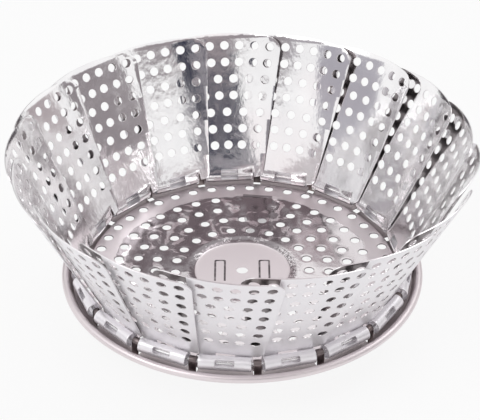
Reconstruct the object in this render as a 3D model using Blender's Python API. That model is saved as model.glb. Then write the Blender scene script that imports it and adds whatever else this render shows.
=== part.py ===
"""Folding steamer basket: a perforated base on three folding legs, with seventeen hinged petals.

Lengths are in metres, +Z is up, and the origin is on the centre line at the height of the feet.
Azimuths run clockwise as seen from above, from zero at +Y, which is the far side.
"""

from math import atan2, cos, hypot, pi, radians, sin, sqrt, tan

import bmesh
import bpy
from mathutils import Vector
from mathutils.geometry import delaunay_2d_cdt

# Repeated pieces
PETAL_COUNT = 17
PETAL_FIRST_AZIMUTH = radians(-68.45)
LEG_COUNT = 3
LEG_FIRST_AZIMUTH = radians(7.2)

# Ring of wire that carries the petals, which all other radii follow
RING_RADIUS = 0.0634
RING_WIRE_RADIUS = 0.0007
RING_RISE = 0.0030
RING_SIDES = 51
WIRE_SIDES = 6

# Base plate, pressed from one sheet
BASE_SHEET = 0.0005
DISC_HEIGHT = 0.0175
DISC_TO_RING = 0.0030
DISC_RADIUS = RING_RADIUS - DISC_TO_RING
DISC_EDGE_WIDTH = 0.0008
BOSS_SHARE = 0.3477
BOSS_RADIUS = BOSS_SHARE * DISC_RADIUS
BOSS_SLOPE_WIDTH = 0.0026
BOSS_DEPTH = 0.0010
GUTTER_DEPTH = 0.0015
RING_TO_GUTTER_EDGE = 0.0030
GUTTER_OUTER_RADIUS = RING_RADIUS + RING_TO_GUTTER_EDGE
FLANGE_WIDTH = 0.0039
RIM_RADIUS = GUTTER_OUTER_RADIUS + FLANGE_WIDTH
LIP_ROLL_RADIUS = 0.00125
LIP_CENTRE_RISE = 0.0006
LIP_START = radians(115)
LIP_END = radians(-75)
LIP_STEPS = 4
ROUND_SIDES = 34

# Perforations of the disc, which repeat in each third, counted from a leg
DISC_HOLE_RADIUS = 0.0018
DISC_HOLE_SIDES = 4
CENTRE_HOLE_RADIUS = 0.0023
CENTRE_HOLE_SIDES = 8
HOLE_ROW_SHARES = (0.9520, 0.8113, 0.6871, 0.5629, 0.4338)
HOLE_ROWS = (
    # holes in a third, first and last azimuth from the leg
    (15, radians(4.0), radians(116.0)),
    (9, radians(20.0), radians(100.0)),
    (8, radians(21.2), radians(98.8)),
    (9, radians(6.67), radians(113.33)),
    (7, radians(0.0), radians(102.86)),
)

# The two tongues cut free in the boss
TONGUE_OFFSET = 0.0087
TONGUE_WIDTH = 0.0034
TONGUE_SLIT = 0.0004
TONGUE_TIP = 0.0066
TONGUE_ROOT = -0.0070

# Hooks of the base that hold the ring
HOOK_WIDTH = 0.0028
HOOK_CLEARANCE = 0.00035
HOOK_WRAP = radians(200)
HOOK_STEPS = 4
HOOK_WINDOW_MARGIN = 0.0004

# Petals, each cut from one sheet and curled round the ring
PETAL_PITCH = 2 * pi * RING_RADIUS / PETAL_COUNT
PETAL_SHEET = 0.00045
PETAL_LENGTH = 0.0592
PETAL_TOP_SHARE = 2.0058
PETAL_FOOT_SHARE = 1.1949
PETAL_TOP_WIDTH = PETAL_TOP_SHARE * PETAL_PITCH
PETAL_FOOT_WIDTH = PETAL_FOOT_SHARE * PETAL_PITCH
PETAL_CROWN = 0.0030
PETAL_TOP_CORNER = 0.0060
PETAL_FOOT_CORNER = 0.0028
PETAL_FOOT_START = 0.0018
PETAL_FOOT_DROP = 0.0010
PETAL_FOOT_SLIT = 0.0004
PETAL_REST_ANGLE = radians(62.9)
CORNER_STEPS = 3
CROWN_STEPS = 4
SIDE_STEPS = 3

# Form of the petal: rolled about its length and dished, more so towards the top
PETAL_FOOT_ROLL = radians(2.9)
PETAL_TOP_ROLL = radians(5.0)
PETAL_FOOT_DISH_SHARE = 1.735
PETAL_TOP_DISH_SHARE = 1.0095
PETAL_FOOT_DISH_RADIUS = PETAL_FOOT_DISH_SHARE * RING_RADIUS
PETAL_TOP_DISH_RADIUS = PETAL_TOP_DISH_SHARE * RING_RADIUS
PETAL_BLEND_LENGTH = 0.0030
PETAL_PLAIN_LINE = 0.0080
GUIDE_STEPS = 4

# Knuckle at the petal's foot
KNUCKLE_SHARE = 0.8237
KNUCKLE_WIDTH = KNUCKLE_SHARE * PETAL_PITCH
KNUCKLE_RADIUS = 0.0026
KNUCKLE_WRAP = radians(312)
KNUCKLE_STEPS = 7
KNUCKLE_WINDOW_WIDTH = 0.0072
KNUCKLE_WINDOW_TOP = 0.0024
KNUCKLE_INNER_WINDOW_END = radians(50)
KNUCKLE_OUTER_WINDOW_START = radians(205)
KNUCKLE_OUTER_WINDOW_END = radians(262)

# Perforations of a petal, rows from the top down
PETAL_HOLE_RADIUS = 0.0018
PETAL_HOLE_SIDES = 4
PETAL_HOLE_COUNTS = (5, 5, 4, 4, 4, 3, 3)
PETAL_HOLE_ROW_PITCH = 0.0069
PETAL_HOLE_FIRST_ROW = 0.0050
PETAL_HOLE_MARGIN = 0.0050
PETAL_HOLE_BOW = 0.0022

# Legs, which fold inwards on pins
LEG_SHEET = 0.0008
LEG_PIN_CIRCLE_SHARE = 0.7699
LEG_PIN_CIRCLE = LEG_PIN_CIRCLE_SHARE * DISC_RADIUS
LEG_PIN_DROP = 0.0040
LEG_PIN_RADIUS = 0.0008
LEG_PIN_CLEARANCE = 0.00025
LEG_PIN_SIDES = 8
LEG_PIN_HEAD_RADIUS = 0.0015
LEG_PIN_HEAD_LENGTH = 0.0006
LEG_WIDTH = 0.0120
LEG_FOOT_WIDTH = 0.0080
LEG_SIDE_CLEARANCE = 0.0003
LEG_CURL_WRAP = radians(285)
LEG_CURL_STEPS = 8
LEG_FOOT_BEND = 0.0016
LEG_FOOT_LENGTH = 0.0026
LEG_BEND_STEPS = 3

# Brackets under the disc, which hold the leg pins and stop the legs upright
BRACKET_SHEET = 0.0006
BRACKET_DISC_GAP = 0.0003
BRACKET_STOP_GAP = 0.0003
BRACKET_FLANGE_WIDTH = 0.0040
BRACKET_INNER_REACH = 0.0072
BRACKET_OUTER_REACH = 0.0052
LUG_REACH = 0.0036
LUG_HEIGHT_BELOW_PIN = 0.0022

# Smallest distance between points that count as two
POINT_TOLERANCE = 0.0000001

# Colours from the photograph, with roughness; every piece is bare stainless steel
BASE_STEEL = (0.58, 0.55, 0.56, 1.0)
BASE_ROUGHNESS = 0.16
PETAL_STEEL = (0.66, 0.65, 0.67, 1.0)
PETAL_ROUGHNESS = 0.20
RING_STEEL = (0.45, 0.44, 0.45, 1.0)
RING_ROUGHNESS = 0.28
LEG_STEEL = (0.55, 0.54, 0.55, 1.0)
LEG_ROUGHNESS = 0.30


def clear_scene():
    """Remove every object that the scene starts with."""
    for item in list(bpy.data.objects):
        bpy.data.objects.remove(item, do_unlink=True)


def steel(name, colour, roughness):
    """Make a bare metal material."""
    material = bpy.data.materials.new(name)
    material.use_nodes = True
    shader = material.node_tree.nodes["Principled BSDF"]
    shader.inputs["Base Color"].default_value = colour
    shader.inputs["Metallic"].default_value = 1.0
    shader.inputs["Roughness"].default_value = roughness
    return material


def add_object(name, mesh, material, location=(0, 0, 0), rotation=(0, 0, 0)):
    """Place a mesh in the scene as one named piece."""
    piece = bpy.data.objects.new(name, mesh)
    bpy.context.scene.collection.objects.link(piece)
    piece.location = location
    piece.rotation_euler = rotation
    if not mesh.materials:
        mesh.materials.append(material)
    return piece


def thicken(piece, thickness):
    """Give a formed sheet its thickness, half to each side."""
    wall = piece.modifiers.new("Wall", "SOLIDIFY")
    wall.thickness = thickness
    wall.offset = 0
    wall.use_even_offset = True
    return wall


def smooth(mesh):
    """Shade a mesh smooth apart from its sharp edges."""
    mesh.shade_smooth()
    mesh.set_sharp_from_angle(angle=radians(35))


def around(azimuth, radius, height=0.0, aside=0.0):
    """Point at a radius and azimuth, and a distance clockwise from there along the tangent."""
    x = radius * sin(azimuth) + aside * cos(azimuth)
    y = radius * cos(azimuth) - aside * sin(azimuth)
    return Vector((x, y, height))


def polygon(centre, radius, sides, start=0.0):
    """Corners of a regular polygon in the plane of a blank."""
    turn = 2 * pi / sides
    return [
        (centre[0] + radius * sin(start + turn * i), centre[1] + radius * cos(start + turn * i))
        for i in range(sides)
    ]


def round_hole(centre, radius, sides, start=0.0):
    """Corners of a polygon that has the area of a round hole."""
    corner = radius * sqrt(2 * pi / (sides * sin(2 * pi / sides)))
    return polygon(centre, corner, sides, start)


def arc(centre, radius, start, end, steps):
    """Points along an arc, both ends included, with angles counted from +X."""
    return [
        (
            centre[0] + radius * cos(start + (end - start) * i / steps),
            centre[1] + radius * sin(start + (end - start) * i / steps),
        )
        for i in range(steps + 1)
    ]


def inside(point, loop):
    """Tell whether a point lies inside a closed loop."""
    x, y = point
    within = False
    for (ax, ay), (bx, by) in zip(loop, loop[1:] + loop[:1]):
        if (ay > y) != (by > y) and x < ax + (bx - ax) * (y - ay) / (by - ay):
            within = not within
    return within


def blank_mesh(name, outline, holes, creases, form):
    """Cut a flat blank, punch its holes and form it into the shape of a sheet.

    The outline and the holes are closed loops, and a crease is an open or closed run of
    points along which the sheet bends. The form gives each point of the blank its place.
    """
    points = []
    edges = []
    for loop in [outline] + holes:
        first = len(points)
        points.extend(loop)
        edges.extend((first + i, first + (i + 1) % len(loop)) for i in range(len(loop)))
    for line in creases:
        first = len(points)
        points.extend(line)
        edges.extend((first + i, first + i + 1) for i in range(len(line) - 1))
    flat = delaunay_2d_cdt([Vector(p) for p in points], edges, [], 1, POINT_TOLERANCE)
    reach = [
        (
            loop,
            min(p[0] for p in loop),
            max(p[0] for p in loop),
            min(p[1] for p in loop),
            max(p[1] for p in loop),
        )
        for loop in holes
    ]
    kept = []
    for face in flat[2]:
        middle = sum((flat[0][i] for i in face), Vector((0, 0))) / len(face)
        if not inside(middle, outline):
            continue
        if any(
            low_x < middle.x < high_x and low_y < middle.y < high_y and inside(middle, loop)
            for loop, low_x, high_x, low_y, high_y in reach
        ):
            continue
        kept.append(face)
    shape = bmesh.new()
    corners = [shape.verts.new(form(p.x, p.y)) for p in flat[0]]
    for face in kept:
        shape.faces.new([corners[i] for i in face])
    bmesh.ops.delete(shape, geom=[v for v in shape.verts if not v.link_faces], context="VERTS")
    mesh = bpy.data.meshes.new(name)
    shape.to_mesh(mesh)
    shape.free()
    smooth(mesh)
    return mesh


def base_lines():
    """Pressed lines of the base: radius in the blank, formed radius and height of the sheet."""
    middle = DISC_HEIGHT - BASE_SHEET / 2
    gutter = middle - GUTTER_DEPTH
    lines = [
        (BOSS_RADIUS - BOSS_SLOPE_WIDTH, BOSS_RADIUS - BOSS_SLOPE_WIDTH, middle - BOSS_DEPTH),
        (BOSS_RADIUS, BOSS_RADIUS, middle),
        (DISC_RADIUS, DISC_RADIUS, middle),
        (DISC_RADIUS + DISC_EDGE_WIDTH, DISC_RADIUS + DISC_EDGE_WIDTH, gutter),
        (GUTTER_OUTER_RADIUS, GUTTER_OUTER_RADIUS, gutter),
    ]
    lip_centre = (RIM_RADIUS - BASE_SHEET / 2 - LIP_ROLL_RADIUS, middle + LIP_CENTRE_RISE)
    for radius, height in arc(lip_centre, LIP_ROLL_RADIUS, LIP_START, LIP_END, LIP_STEPS):
        along, last_radius, last_height = lines[-1]
        step = hypot(radius - last_radius, height - last_height)
        lines.append((along + step, radius, height))
    return lines


def press_base(lines):
    """Make the form that presses the flat blank of the base to its lines."""

    def form(x, y):
        along = hypot(x, y)
        before = lines[0]
        if along <= before[0]:
            return Vector((x, y, before[2]))
        for after in lines[1:]:
            if along <= after[0] + POINT_TOLERANCE:
                break
            before = after
        part = min(1.0, (along - before[0]) / (after[0] - before[0]))
        radius = before[1] + (after[1] - before[1]) * part
        height = before[2] + (after[2] - before[2]) * part
        return Vector((x * radius / along, y * radius / along, height))

    return form


def disc_holes():
    """Loops of the round perforations, the centre hole and the tongues."""
    loops = [round_hole((0, 0), CENTRE_HOLE_RADIUS, CENTRE_HOLE_SIDES)]
    for leg in range(LEG_COUNT):
        for share, (count, first, last) in zip(HOLE_ROW_SHARES, HOLE_ROWS):
            for i in range(count):
                angle = leg_azimuth(leg) + first + (last - first) * i / (count - 1)
                centre = around(angle, share * DISC_RADIUS)
                loops.append(round_hole(centre, DISC_HOLE_RADIUS, DISC_HOLE_SIDES, angle))
    for side in (-1, 1):
        loops.append(tongue_slit(side * TONGUE_OFFSET))
    return loops


def tongue_slit(centre):
    """Loop of the narrow slit round three sides of a tongue."""
    inner = TONGUE_WIDTH / 2
    outer = inner + TONGUE_SLIT
    return [
        (centre - outer, TONGUE_ROOT),
        (centre - outer, TONGUE_TIP),
        (centre + outer, TONGUE_TIP),
        (centre + outer, TONGUE_ROOT),
        (centre + inner, TONGUE_ROOT),
        (centre + inner, TONGUE_TIP - TONGUE_SLIT),
        (centre - inner, TONGUE_TIP - TONGUE_SLIT),
        (centre - inner, TONGUE_ROOT),
    ]


def petal_azimuth(index):
    """Azimuth of the middle of a petal."""
    return PETAL_FIRST_AZIMUTH + 2 * pi * index / PETAL_COUNT


def hook_azimuth(index):
    """Azimuth of a hook, halfway between two petals."""
    return petal_azimuth(index + 0.5)


def hook_radius():
    """Radius of the middle of the hook's sheet round the wire."""
    return RING_WIRE_RADIUS + HOOK_CLEARANCE + BASE_SHEET / 2


def hook_windows():
    """Loops of the windows in the gutter that the hooks are raised from."""
    low = DISC_RADIUS + DISC_EDGE_WIDTH + HOOK_WINDOW_MARGIN
    high = RING_RADIUS + hook_radius()
    half = HOOK_WIDTH / 2 + HOOK_WINDOW_MARGIN
    loops = []
    for i in range(PETAL_COUNT):
        azimuth = hook_azimuth(i)
        corners = ((low, -half), (high, -half), (high, half), (low, half))
        loops.append([tuple(around(azimuth, r, 0, aside)[:2]) for r, aside in corners])
    return loops


def hook_section():
    """Outline of a hook in radius and height: up from the gutter and over the wire."""
    middle = DISC_HEIGHT - BASE_SHEET / 2
    centre = (RING_RADIUS, DISC_HEIGHT + RING_RISE)
    outer = hook_radius() + BASE_SHEET / 2
    inner = hook_radius() - BASE_SHEET / 2
    foot = middle - GUTTER_DEPTH
    section = [(centre[0] + outer, foot)]
    section.extend(arc(centre, outer, 0, HOOK_WRAP, HOOK_STEPS))
    section.extend(arc(centre, inner, HOOK_WRAP, 0, HOOK_STEPS))
    section.append((centre[0] + inner, foot))
    return section


def hook_mesh(index):
    """Make one hook, to be joined to the base."""

    def place(radius, height, aside):
        return around(hook_azimuth(index), radius, height, aside)

    return prism("hook", hook_section(), place, -HOOK_WIDTH / 2, HOOK_WIDTH / 2)


def prism(name, outline, place, first, last):
    """Make a closed prism of an outline, drawn out from the first depth to the last.

    The place gives the point at two coordinates of the outline and a depth.
    """
    count = len(outline)
    edges = [(i, (i + 1) % count) for i in range(count)]
    flat = delaunay_2d_cdt([Vector(p) for p in outline], edges, [], 1, POINT_TOLERANCE)
    kept = []
    for face in flat[2]:
        middle = sum((flat[0][i] for i in face), Vector((0, 0))) / len(face)
        if inside(middle, outline):
            kept.append(face)
    shape = bmesh.new()
    near = [shape.verts.new(place(p.x, p.y, first)) for p in flat[0]]
    far = [shape.verts.new(place(p.x, p.y, last)) for p in flat[0]]
    for face in kept:
        shape.faces.new([near[i] for i in face])
        shape.faces.new([far[i] for i in reversed(face)])
    for i, j in flat[1]:
        if (i + 1) % count == j or (j + 1) % count == i:
            shape.faces.new((near[i], near[j], far[j], far[i]))
    bmesh.ops.recalc_face_normals(shape, faces=shape.faces)
    mesh = bpy.data.meshes.new(name)
    shape.to_mesh(mesh)
    shape.free()
    return mesh


def combine(piece, operation, meshes, material):
    """Join guide solids to a piece or cut them out of it."""
    for i, mesh in enumerate(meshes):
        guide = add_object(f"{piece.name}_{operation.lower()}_guide_{i + 1}", mesh, material)
        guide.hide_render = True
        guide.display_type = "WIRE"
        change = piece.modifiers.new(operation.title(), "BOOLEAN")
        change.operation = operation
        change.solver = "EXACT"
        change.object = guide


def make_base(material):
    """Make the base plate: disc, boss, gutter, flange and lip, with its hooks."""
    lines = base_lines()
    rings = [polygon((0, 0), line[0], ROUND_SIDES) for line in lines]
    creases = [ring + ring[:1] for ring in rings[:-1]]
    holes = disc_holes() + hook_windows()
    mesh = blank_mesh("base_plate", rings[-1], holes, creases, press_base(lines))
    base = add_object("base_plate", mesh, material)
    thicken(base, BASE_SHEET)
    combine(base, "UNION", [hook_mesh(i) for i in range(PETAL_COUNT)], material)


def make_ring(material):
    """Make the hinge ring of round wire."""
    bpy.ops.mesh.primitive_torus_add(
        major_segments=RING_SIDES,
        minor_segments=WIRE_SIDES,
        major_radius=RING_RADIUS,
        minor_radius=RING_WIRE_RADIUS,
        location=(0, 0, DISC_HEIGHT + RING_RISE),
        rotation=(0, 0, pi / 2 - hook_azimuth(0)),
    )
    ring = bpy.context.object
    ring.name = "hinge_ring"
    ring.data.materials.append(material)
    smooth(ring.data)
    return ring


def knuckle_bow():
    """Distance that the ring bows away from a straight knuckle over its width."""
    return RING_RADIUS - sqrt(RING_RADIUS**2 - (KNUCKLE_WIDTH / 2) ** 2)


def petal_axis_radius():
    """Radius of a petal's straight hinge axis, halfway into the bow of the ring."""
    return RING_RADIUS - knuckle_bow() / 2


def petal_half_width(along):
    """Half the width of a petal at a distance from its axis."""
    side_end = PETAL_LENGTH - PETAL_CROWN
    part = (along - PETAL_FOOT_START) / (side_end - PETAL_FOOT_START)
    return (PETAL_FOOT_WIDTH + (PETAL_TOP_WIDTH - PETAL_FOOT_WIDTH) * part) / 2


def crown_edge(aside):
    """Distance of a petal's crowned top edge from its axis."""
    return PETAL_LENGTH - PETAL_CROWN * (2 * aside / PETAL_TOP_WIDTH) ** 2


def top_corner():
    """Points of a petal's rounded top corner at the +X side, from the side to the crown."""
    slope = atan2(petal_half_width(PETAL_LENGTH) - petal_half_width(0), PETAL_LENGTH)
    along = crown_edge(PETAL_TOP_WIDTH / 2 - PETAL_TOP_CORNER) - PETAL_TOP_CORNER
    centre = (petal_half_width(along) - PETAL_TOP_CORNER / cos(slope), along)
    return arc(centre, PETAL_TOP_CORNER, -slope, pi / 2 - slope, CORNER_STEPS)


def side_edge(foot, start):
    """Points of a petal's outline at the +X side, from a line of its foot up to the crown.

    The line ends at the height where the foot's rounded corner starts.
    """
    centre = (PETAL_FOOT_WIDTH / 2 - PETAL_FOOT_CORNER, start + PETAL_FOOT_CORNER)
    points = foot + arc(centre, PETAL_FOOT_CORNER, -pi / 2, 0, CORNER_STEPS)
    corner = top_corner()
    low = points[-1]
    high = corner[0]
    for i in range(1, SIDE_STEPS):
        part = i / SIDE_STEPS
        points.append((low[0] + (high[0] - low[0]) * part, low[1] + (high[1] - low[1]) * part))
    return points + corner


def petal_outline():
    """Closed outline of the petal's blank.

    The foot's corner at the +X side reaches down past the hinge axis, beside the knuckle.
    """
    half = KNUCKLE_WIDTH / 2
    curl = [(half, knuckle_line(i)) for i in range(KNUCKLE_STEPS, -1, -1)]
    beyond = half + PETAL_FOOT_SLIT
    slit = [
        (half, PETAL_BLEND_LENGTH),
        (beyond, PETAL_BLEND_LENGTH),
        (beyond, -PETAL_FOOT_DROP),
    ]
    right = side_edge(curl + slit, -PETAL_FOOT_DROP)
    left = side_edge(curl + [(half, PETAL_FOOT_START)], PETAL_FOOT_START)
    crown_end = right[-1][0]
    crown = []
    for i in range(1, CROWN_STEPS):
        aside = crown_end * (1 - 2 * i / CROWN_STEPS)
        crown.append((aside, crown_edge(aside)))
    return right + crown + [(-x, y) for x, y in reversed(left)]


def knuckle_line(index):
    """Place in the blank of one of the lines that the knuckle is curled along."""
    return -KNUCKLE_RADIUS * KNUCKLE_WRAP * index / KNUCKLE_STEPS


def petal_holes():
    """Loops of the petal's perforations and of the two windows of its knuckle."""
    loops = []
    for row, count in enumerate(PETAL_HOLE_COUNTS):
        along = PETAL_LENGTH - PETAL_HOLE_FIRST_ROW - PETAL_HOLE_ROW_PITCH * row
        reach = petal_half_width(along) - PETAL_HOLE_MARGIN
        for i in range(count):
            aside = reach * (2 * i / (count - 1) - 1)
            drop = PETAL_HOLE_BOW * (2 * aside / PETAL_TOP_WIDTH) ** 2
            centre = (aside, along - drop)
            loops.append(round_hole(centre, PETAL_HOLE_RADIUS, PETAL_HOLE_SIDES))
    half = KNUCKLE_WINDOW_WIDTH / 2
    inner = (KNUCKLE_WINDOW_TOP, -KNUCKLE_RADIUS * KNUCKLE_INNER_WINDOW_END)
    outer = (
        -KNUCKLE_RADIUS * KNUCKLE_OUTER_WINDOW_START,
        -KNUCKLE_RADIUS * KNUCKLE_OUTER_WINDOW_END,
    )
    for top, bottom in (inner, outer):
        loops.append([(-half, bottom), (half, bottom), (half, top), (-half, top)])
    return loops


def petal_creases():
    """Lines of the knuckle's curl and guide lines across the plain foot of the petal."""
    half = KNUCKLE_WIDTH / 2
    lines = [[(-half, knuckle_line(i)), (half, knuckle_line(i))] for i in range(KNUCKLE_STEPS)]
    for along in (PETAL_FOOT_START + PETAL_BLEND_LENGTH, PETAL_PLAIN_LINE):
        reach = petal_half_width(along) - PETAL_SHEET
        lines.append(
            [(reach * (2 * i / GUIDE_STEPS - 1), along) for i in range(GUIDE_STEPS + 1)]
        )
    return lines


def form_petal(x, along):
    """Form the petal's blank: X across, Y along the petal, Z to its inner side."""
    in_corner = x > (KNUCKLE_WIDTH + PETAL_FOOT_SLIT) / 2
    if along < 0 and not in_corner:
        turn = -along / KNUCKLE_RADIUS
        return Vector((x, -KNUCKLE_RADIUS * sin(turn), KNUCKLE_RADIUS * cos(turn)))
    part = max(0.0, along / PETAL_LENGTH)
    roll = PETAL_FOOT_ROLL + (PETAL_TOP_ROLL - PETAL_FOOT_ROLL) * part
    dish = (1 - part) / PETAL_FOOT_DISH_RADIUS + part / PETAL_TOP_DISH_RADIUS
    blend = 1 if in_corner else min(1.0, along / PETAL_BLEND_LENGTH)
    blend = blend * blend * (3 - 2 * blend)
    lift = blend * (x * tan(roll) + x * x * dish / 2)
    return Vector((x, along, KNUCKLE_RADIUS + lift))


def make_petals(material):
    """Make the petals, each a piece of its own on its own hinge axis."""
    mesh = blank_mesh("petal", petal_outline(), petal_holes(), petal_creases(), form_petal)
    height = DISC_HEIGHT + RING_RISE
    for i in range(PETAL_COUNT):
        azimuth = petal_azimuth(i)
        place = around(azimuth, petal_axis_radius(), height)
        turn = (PETAL_REST_ANGLE, 0, -azimuth)
        petal = add_object(f"petal_{i + 1:02d}", mesh, material, place, turn)
        thicken(petal, PETAL_SHEET)


def leg_azimuth(index):
    """Azimuth of a leg."""
    return LEG_FIRST_AZIMUTH + 2 * pi * index / LEG_COUNT


def leg_pin_height():
    """Height of the pins that the legs turn on."""
    return DISC_HEIGHT - LEG_PIN_DROP


def leg_curl_radius():
    """Radius of the middle of a leg's sheet round its pin."""
    return LEG_PIN_RADIUS + LEG_PIN_CLEARANCE + LEG_SHEET / 2


def lug_inner_face():
    """Distance of a lug's inner face from the middle of its leg."""
    return LEG_WIDTH / 2 + LEG_SIDE_CLEARANCE


def lug_outer_face():
    """Distance of a lug's outer face from the middle of its leg."""
    return lug_inner_face() + BRACKET_SHEET


def leg_path():
    """Path of a leg's sheet from its pin: Y outwards and Z up, curl first and foot last."""
    curl = leg_curl_radius()
    ankle = LEG_FOOT_BEND + LEG_SHEET / 2 - leg_pin_height()
    path = arc((0, 0), curl, LEG_CURL_WRAP, 0, LEG_CURL_STEPS)
    path.extend(arc((curl + LEG_FOOT_BEND, ankle), LEG_FOOT_BEND, pi, 1.5 * pi, LEG_BEND_STEPS))
    path.append((curl + LEG_FOOT_BEND + LEG_FOOT_LENGTH, ankle - LEG_FOOT_BEND))
    return path


def leg_mesh():
    """Make the formed strip of a leg, which narrows from the pin to the foot."""
    path = leg_path()
    foot = path[-1][1]
    shape = bmesh.new()
    rows = []
    for outward, up in path:
        part = min(1.0, max(0.0, up / foot))
        half = (LEG_WIDTH + (LEG_FOOT_WIDTH - LEG_WIDTH) * part) / 2
        rows.append([shape.verts.new((x, outward, up)) for x in (-half, half)])
    for before, after in zip(rows, rows[1:]):
        shape.faces.new((before[0], before[1], after[1], after[0]))
    mesh = bpy.data.meshes.new("leg")
    shape.to_mesh(mesh)
    shape.free()
    smooth(mesh)
    return mesh


def pin_mesh():
    """Make a pin with a flat head at each end, turned about X."""
    shank = lug_outer_face() + LEG_SIDE_CLEARANCE
    end = shank + LEG_PIN_HEAD_LENGTH
    profile = (
        (-end, 0),
        (-end, LEG_PIN_HEAD_RADIUS),
        (-shank, LEG_PIN_HEAD_RADIUS),
        (-shank, LEG_PIN_RADIUS),
        (shank, LEG_PIN_RADIUS),
        (shank, LEG_PIN_HEAD_RADIUS),
        (end, LEG_PIN_HEAD_RADIUS),
        (end, 0),
    )
    shape = bmesh.new()
    verts = [shape.verts.new((x, 0, radius)) for x, radius in profile]
    edges = [shape.edges.new(pair) for pair in zip(verts, verts[1:])]
    bmesh.ops.spin(
        shape,
        geom=verts + edges,
        cent=(0, 0, 0),
        axis=(1, 0, 0),
        angle=2 * pi,
        steps=LEG_PIN_SIDES,
        use_merge=True,
    )
    bmesh.ops.remove_doubles(shape, verts=shape.verts, dist=POINT_TOLERANCE)
    bmesh.ops.recalc_face_normals(shape, faces=shape.faces)
    mesh = bpy.data.meshes.new("leg_pin")
    shape.to_mesh(mesh)
    shape.free()
    smooth(mesh)
    return mesh


def make_bracket(index, material):
    """Make a leg's bracket: two lugs with pin holes, the stop behind them and two flanges."""

    def upright(aside, radius, height):
        return around(leg_azimuth(index), radius, height, aside)

    def across(radius, height, aside):
        return around(leg_azimuth(index), radius, height, aside)

    inner = lug_inner_face()
    outer = lug_outer_face()
    low = leg_pin_height() - LUG_HEIGHT_BELOW_PIN
    top = DISC_HEIGHT - BASE_SHEET - BRACKET_DISC_GAP
    under = top - BRACKET_SHEET
    front = LEG_PIN_CIRCLE - LUG_REACH
    stop = LEG_PIN_CIRCLE + leg_curl_radius() + LEG_SHEET / 2 + BRACKET_STOP_GAP
    back = stop + BRACKET_SHEET
    channel = [
        (-outer, front),
        (-outer, back),
        (outer, back),
        (outer, front),
        (inner, front),
        (inner, stop),
        (-inner, stop),
        (-inner, front),
    ]
    name = f"leg_bracket_{index + 1}"
    mesh = prism(name, channel, upright, low, (under + top) / 2)
    bracket = add_object(name, mesh, material)
    near = LEG_PIN_CIRCLE - BRACKET_INNER_REACH
    far = LEG_PIN_CIRCLE + BRACKET_OUTER_REACH
    middle = (inner + outer) / 2
    edge = inner + BRACKET_FLANGE_WIDTH
    flanges = []
    for side in (-1, 1):
        sides = (side * middle, side * edge)
        flange = [(sides[0], near), (sides[1], near), (sides[1], far), (sides[0], far)]
        flanges.append(prism("flange", flange, upright, under, top))
    combine(bracket, "UNION", flanges, material)
    pin = (LEG_PIN_CIRCLE, leg_pin_height())
    bore = polygon(pin, LEG_PIN_RADIUS + LEG_PIN_CLEARANCE, LEG_PIN_SIDES)
    cutter = prism("bore", bore, across, -edge, edge)
    combine(bracket, "DIFFERENCE", [cutter], material)


def make_legs(leg_material, pin_material):
    """Make the folding legs, the pins that they turn on and the brackets that hold these."""
    leg_shape = leg_mesh()
    pin_shape = pin_mesh()
    for i in range(LEG_COUNT):
        azimuth = leg_azimuth(i)
        place = around(azimuth, LEG_PIN_CIRCLE, leg_pin_height())
        turn = (0, 0, -azimuth)
        leg = add_object(f"leg_{i + 1}", leg_shape, leg_material, place, turn)
        thicken(leg, LEG_SHEET)
        add_object(f"leg_pin_{i + 1}", pin_shape, pin_material, place, turn)
        make_bracket(i, leg_material)


def main():
    """Build the whole basket."""
    clear_scene()
    base_steel = steel("base_steel", BASE_STEEL, BASE_ROUGHNESS)
    petal_steel = steel("petal_steel", PETAL_STEEL, PETAL_ROUGHNESS)
    ring_steel = steel("ring_steel", RING_STEEL, RING_ROUGHNESS)
    leg_steel = steel("leg_steel", LEG_STEEL, LEG_ROUGHNESS)
    make_base(base_steel)
    make_ring(ring_steel)
    make_petals(petal_steel)
    make_legs(leg_steel, ring_steel)


main()
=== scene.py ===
"""Looks of the folding steamer basket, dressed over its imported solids.

Lengths are in metres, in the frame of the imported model: +Z up, the origin on the centre line at the
soles of the feet, +X to the photograph's right and +Y away from the camera. Azimuths run clockwise
as seen from above, from zero at +Y.
"""

import logging
from contextlib import contextmanager
from dataclasses import dataclass
from enum import Enum
from functools import reduce
from math import acos, atan2, cos, hypot, pi, radians, sin, sqrt, tan
from operator import add, mul
from typing import Any, Callable, Iterable, Iterator, Mapping, Sequence

import bpy
import numpy as np
from mathutils import Matrix, Quaternion, Vector, noise


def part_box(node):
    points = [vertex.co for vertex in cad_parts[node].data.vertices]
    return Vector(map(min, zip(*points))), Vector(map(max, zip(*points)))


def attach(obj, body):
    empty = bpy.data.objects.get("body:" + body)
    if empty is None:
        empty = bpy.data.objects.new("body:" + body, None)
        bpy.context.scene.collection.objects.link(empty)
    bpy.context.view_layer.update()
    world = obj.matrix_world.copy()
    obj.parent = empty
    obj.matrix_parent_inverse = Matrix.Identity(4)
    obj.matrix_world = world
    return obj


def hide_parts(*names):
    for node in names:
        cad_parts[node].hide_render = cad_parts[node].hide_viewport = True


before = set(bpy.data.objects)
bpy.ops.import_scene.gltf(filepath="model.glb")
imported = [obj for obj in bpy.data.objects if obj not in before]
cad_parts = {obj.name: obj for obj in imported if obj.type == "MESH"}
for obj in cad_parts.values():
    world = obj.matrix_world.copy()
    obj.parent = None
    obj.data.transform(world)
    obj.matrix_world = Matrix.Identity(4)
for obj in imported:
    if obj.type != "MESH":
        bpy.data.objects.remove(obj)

LOG = logging.getLogger("steamer")
TINY = 1e-7  # closer than this counts as the same place
OVERRUN = 0.0004  # how far a punch stands out of the sheet
PRESS_STEP = 0.00002  # how far apart two points lie that give a formed sheet's slope
FACING = 0.9  # the share of a normal that counts as facing up or down
ACROSS = Vector((1, 0, 0))
ALONG = Vector((0, 1, 0))

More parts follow.
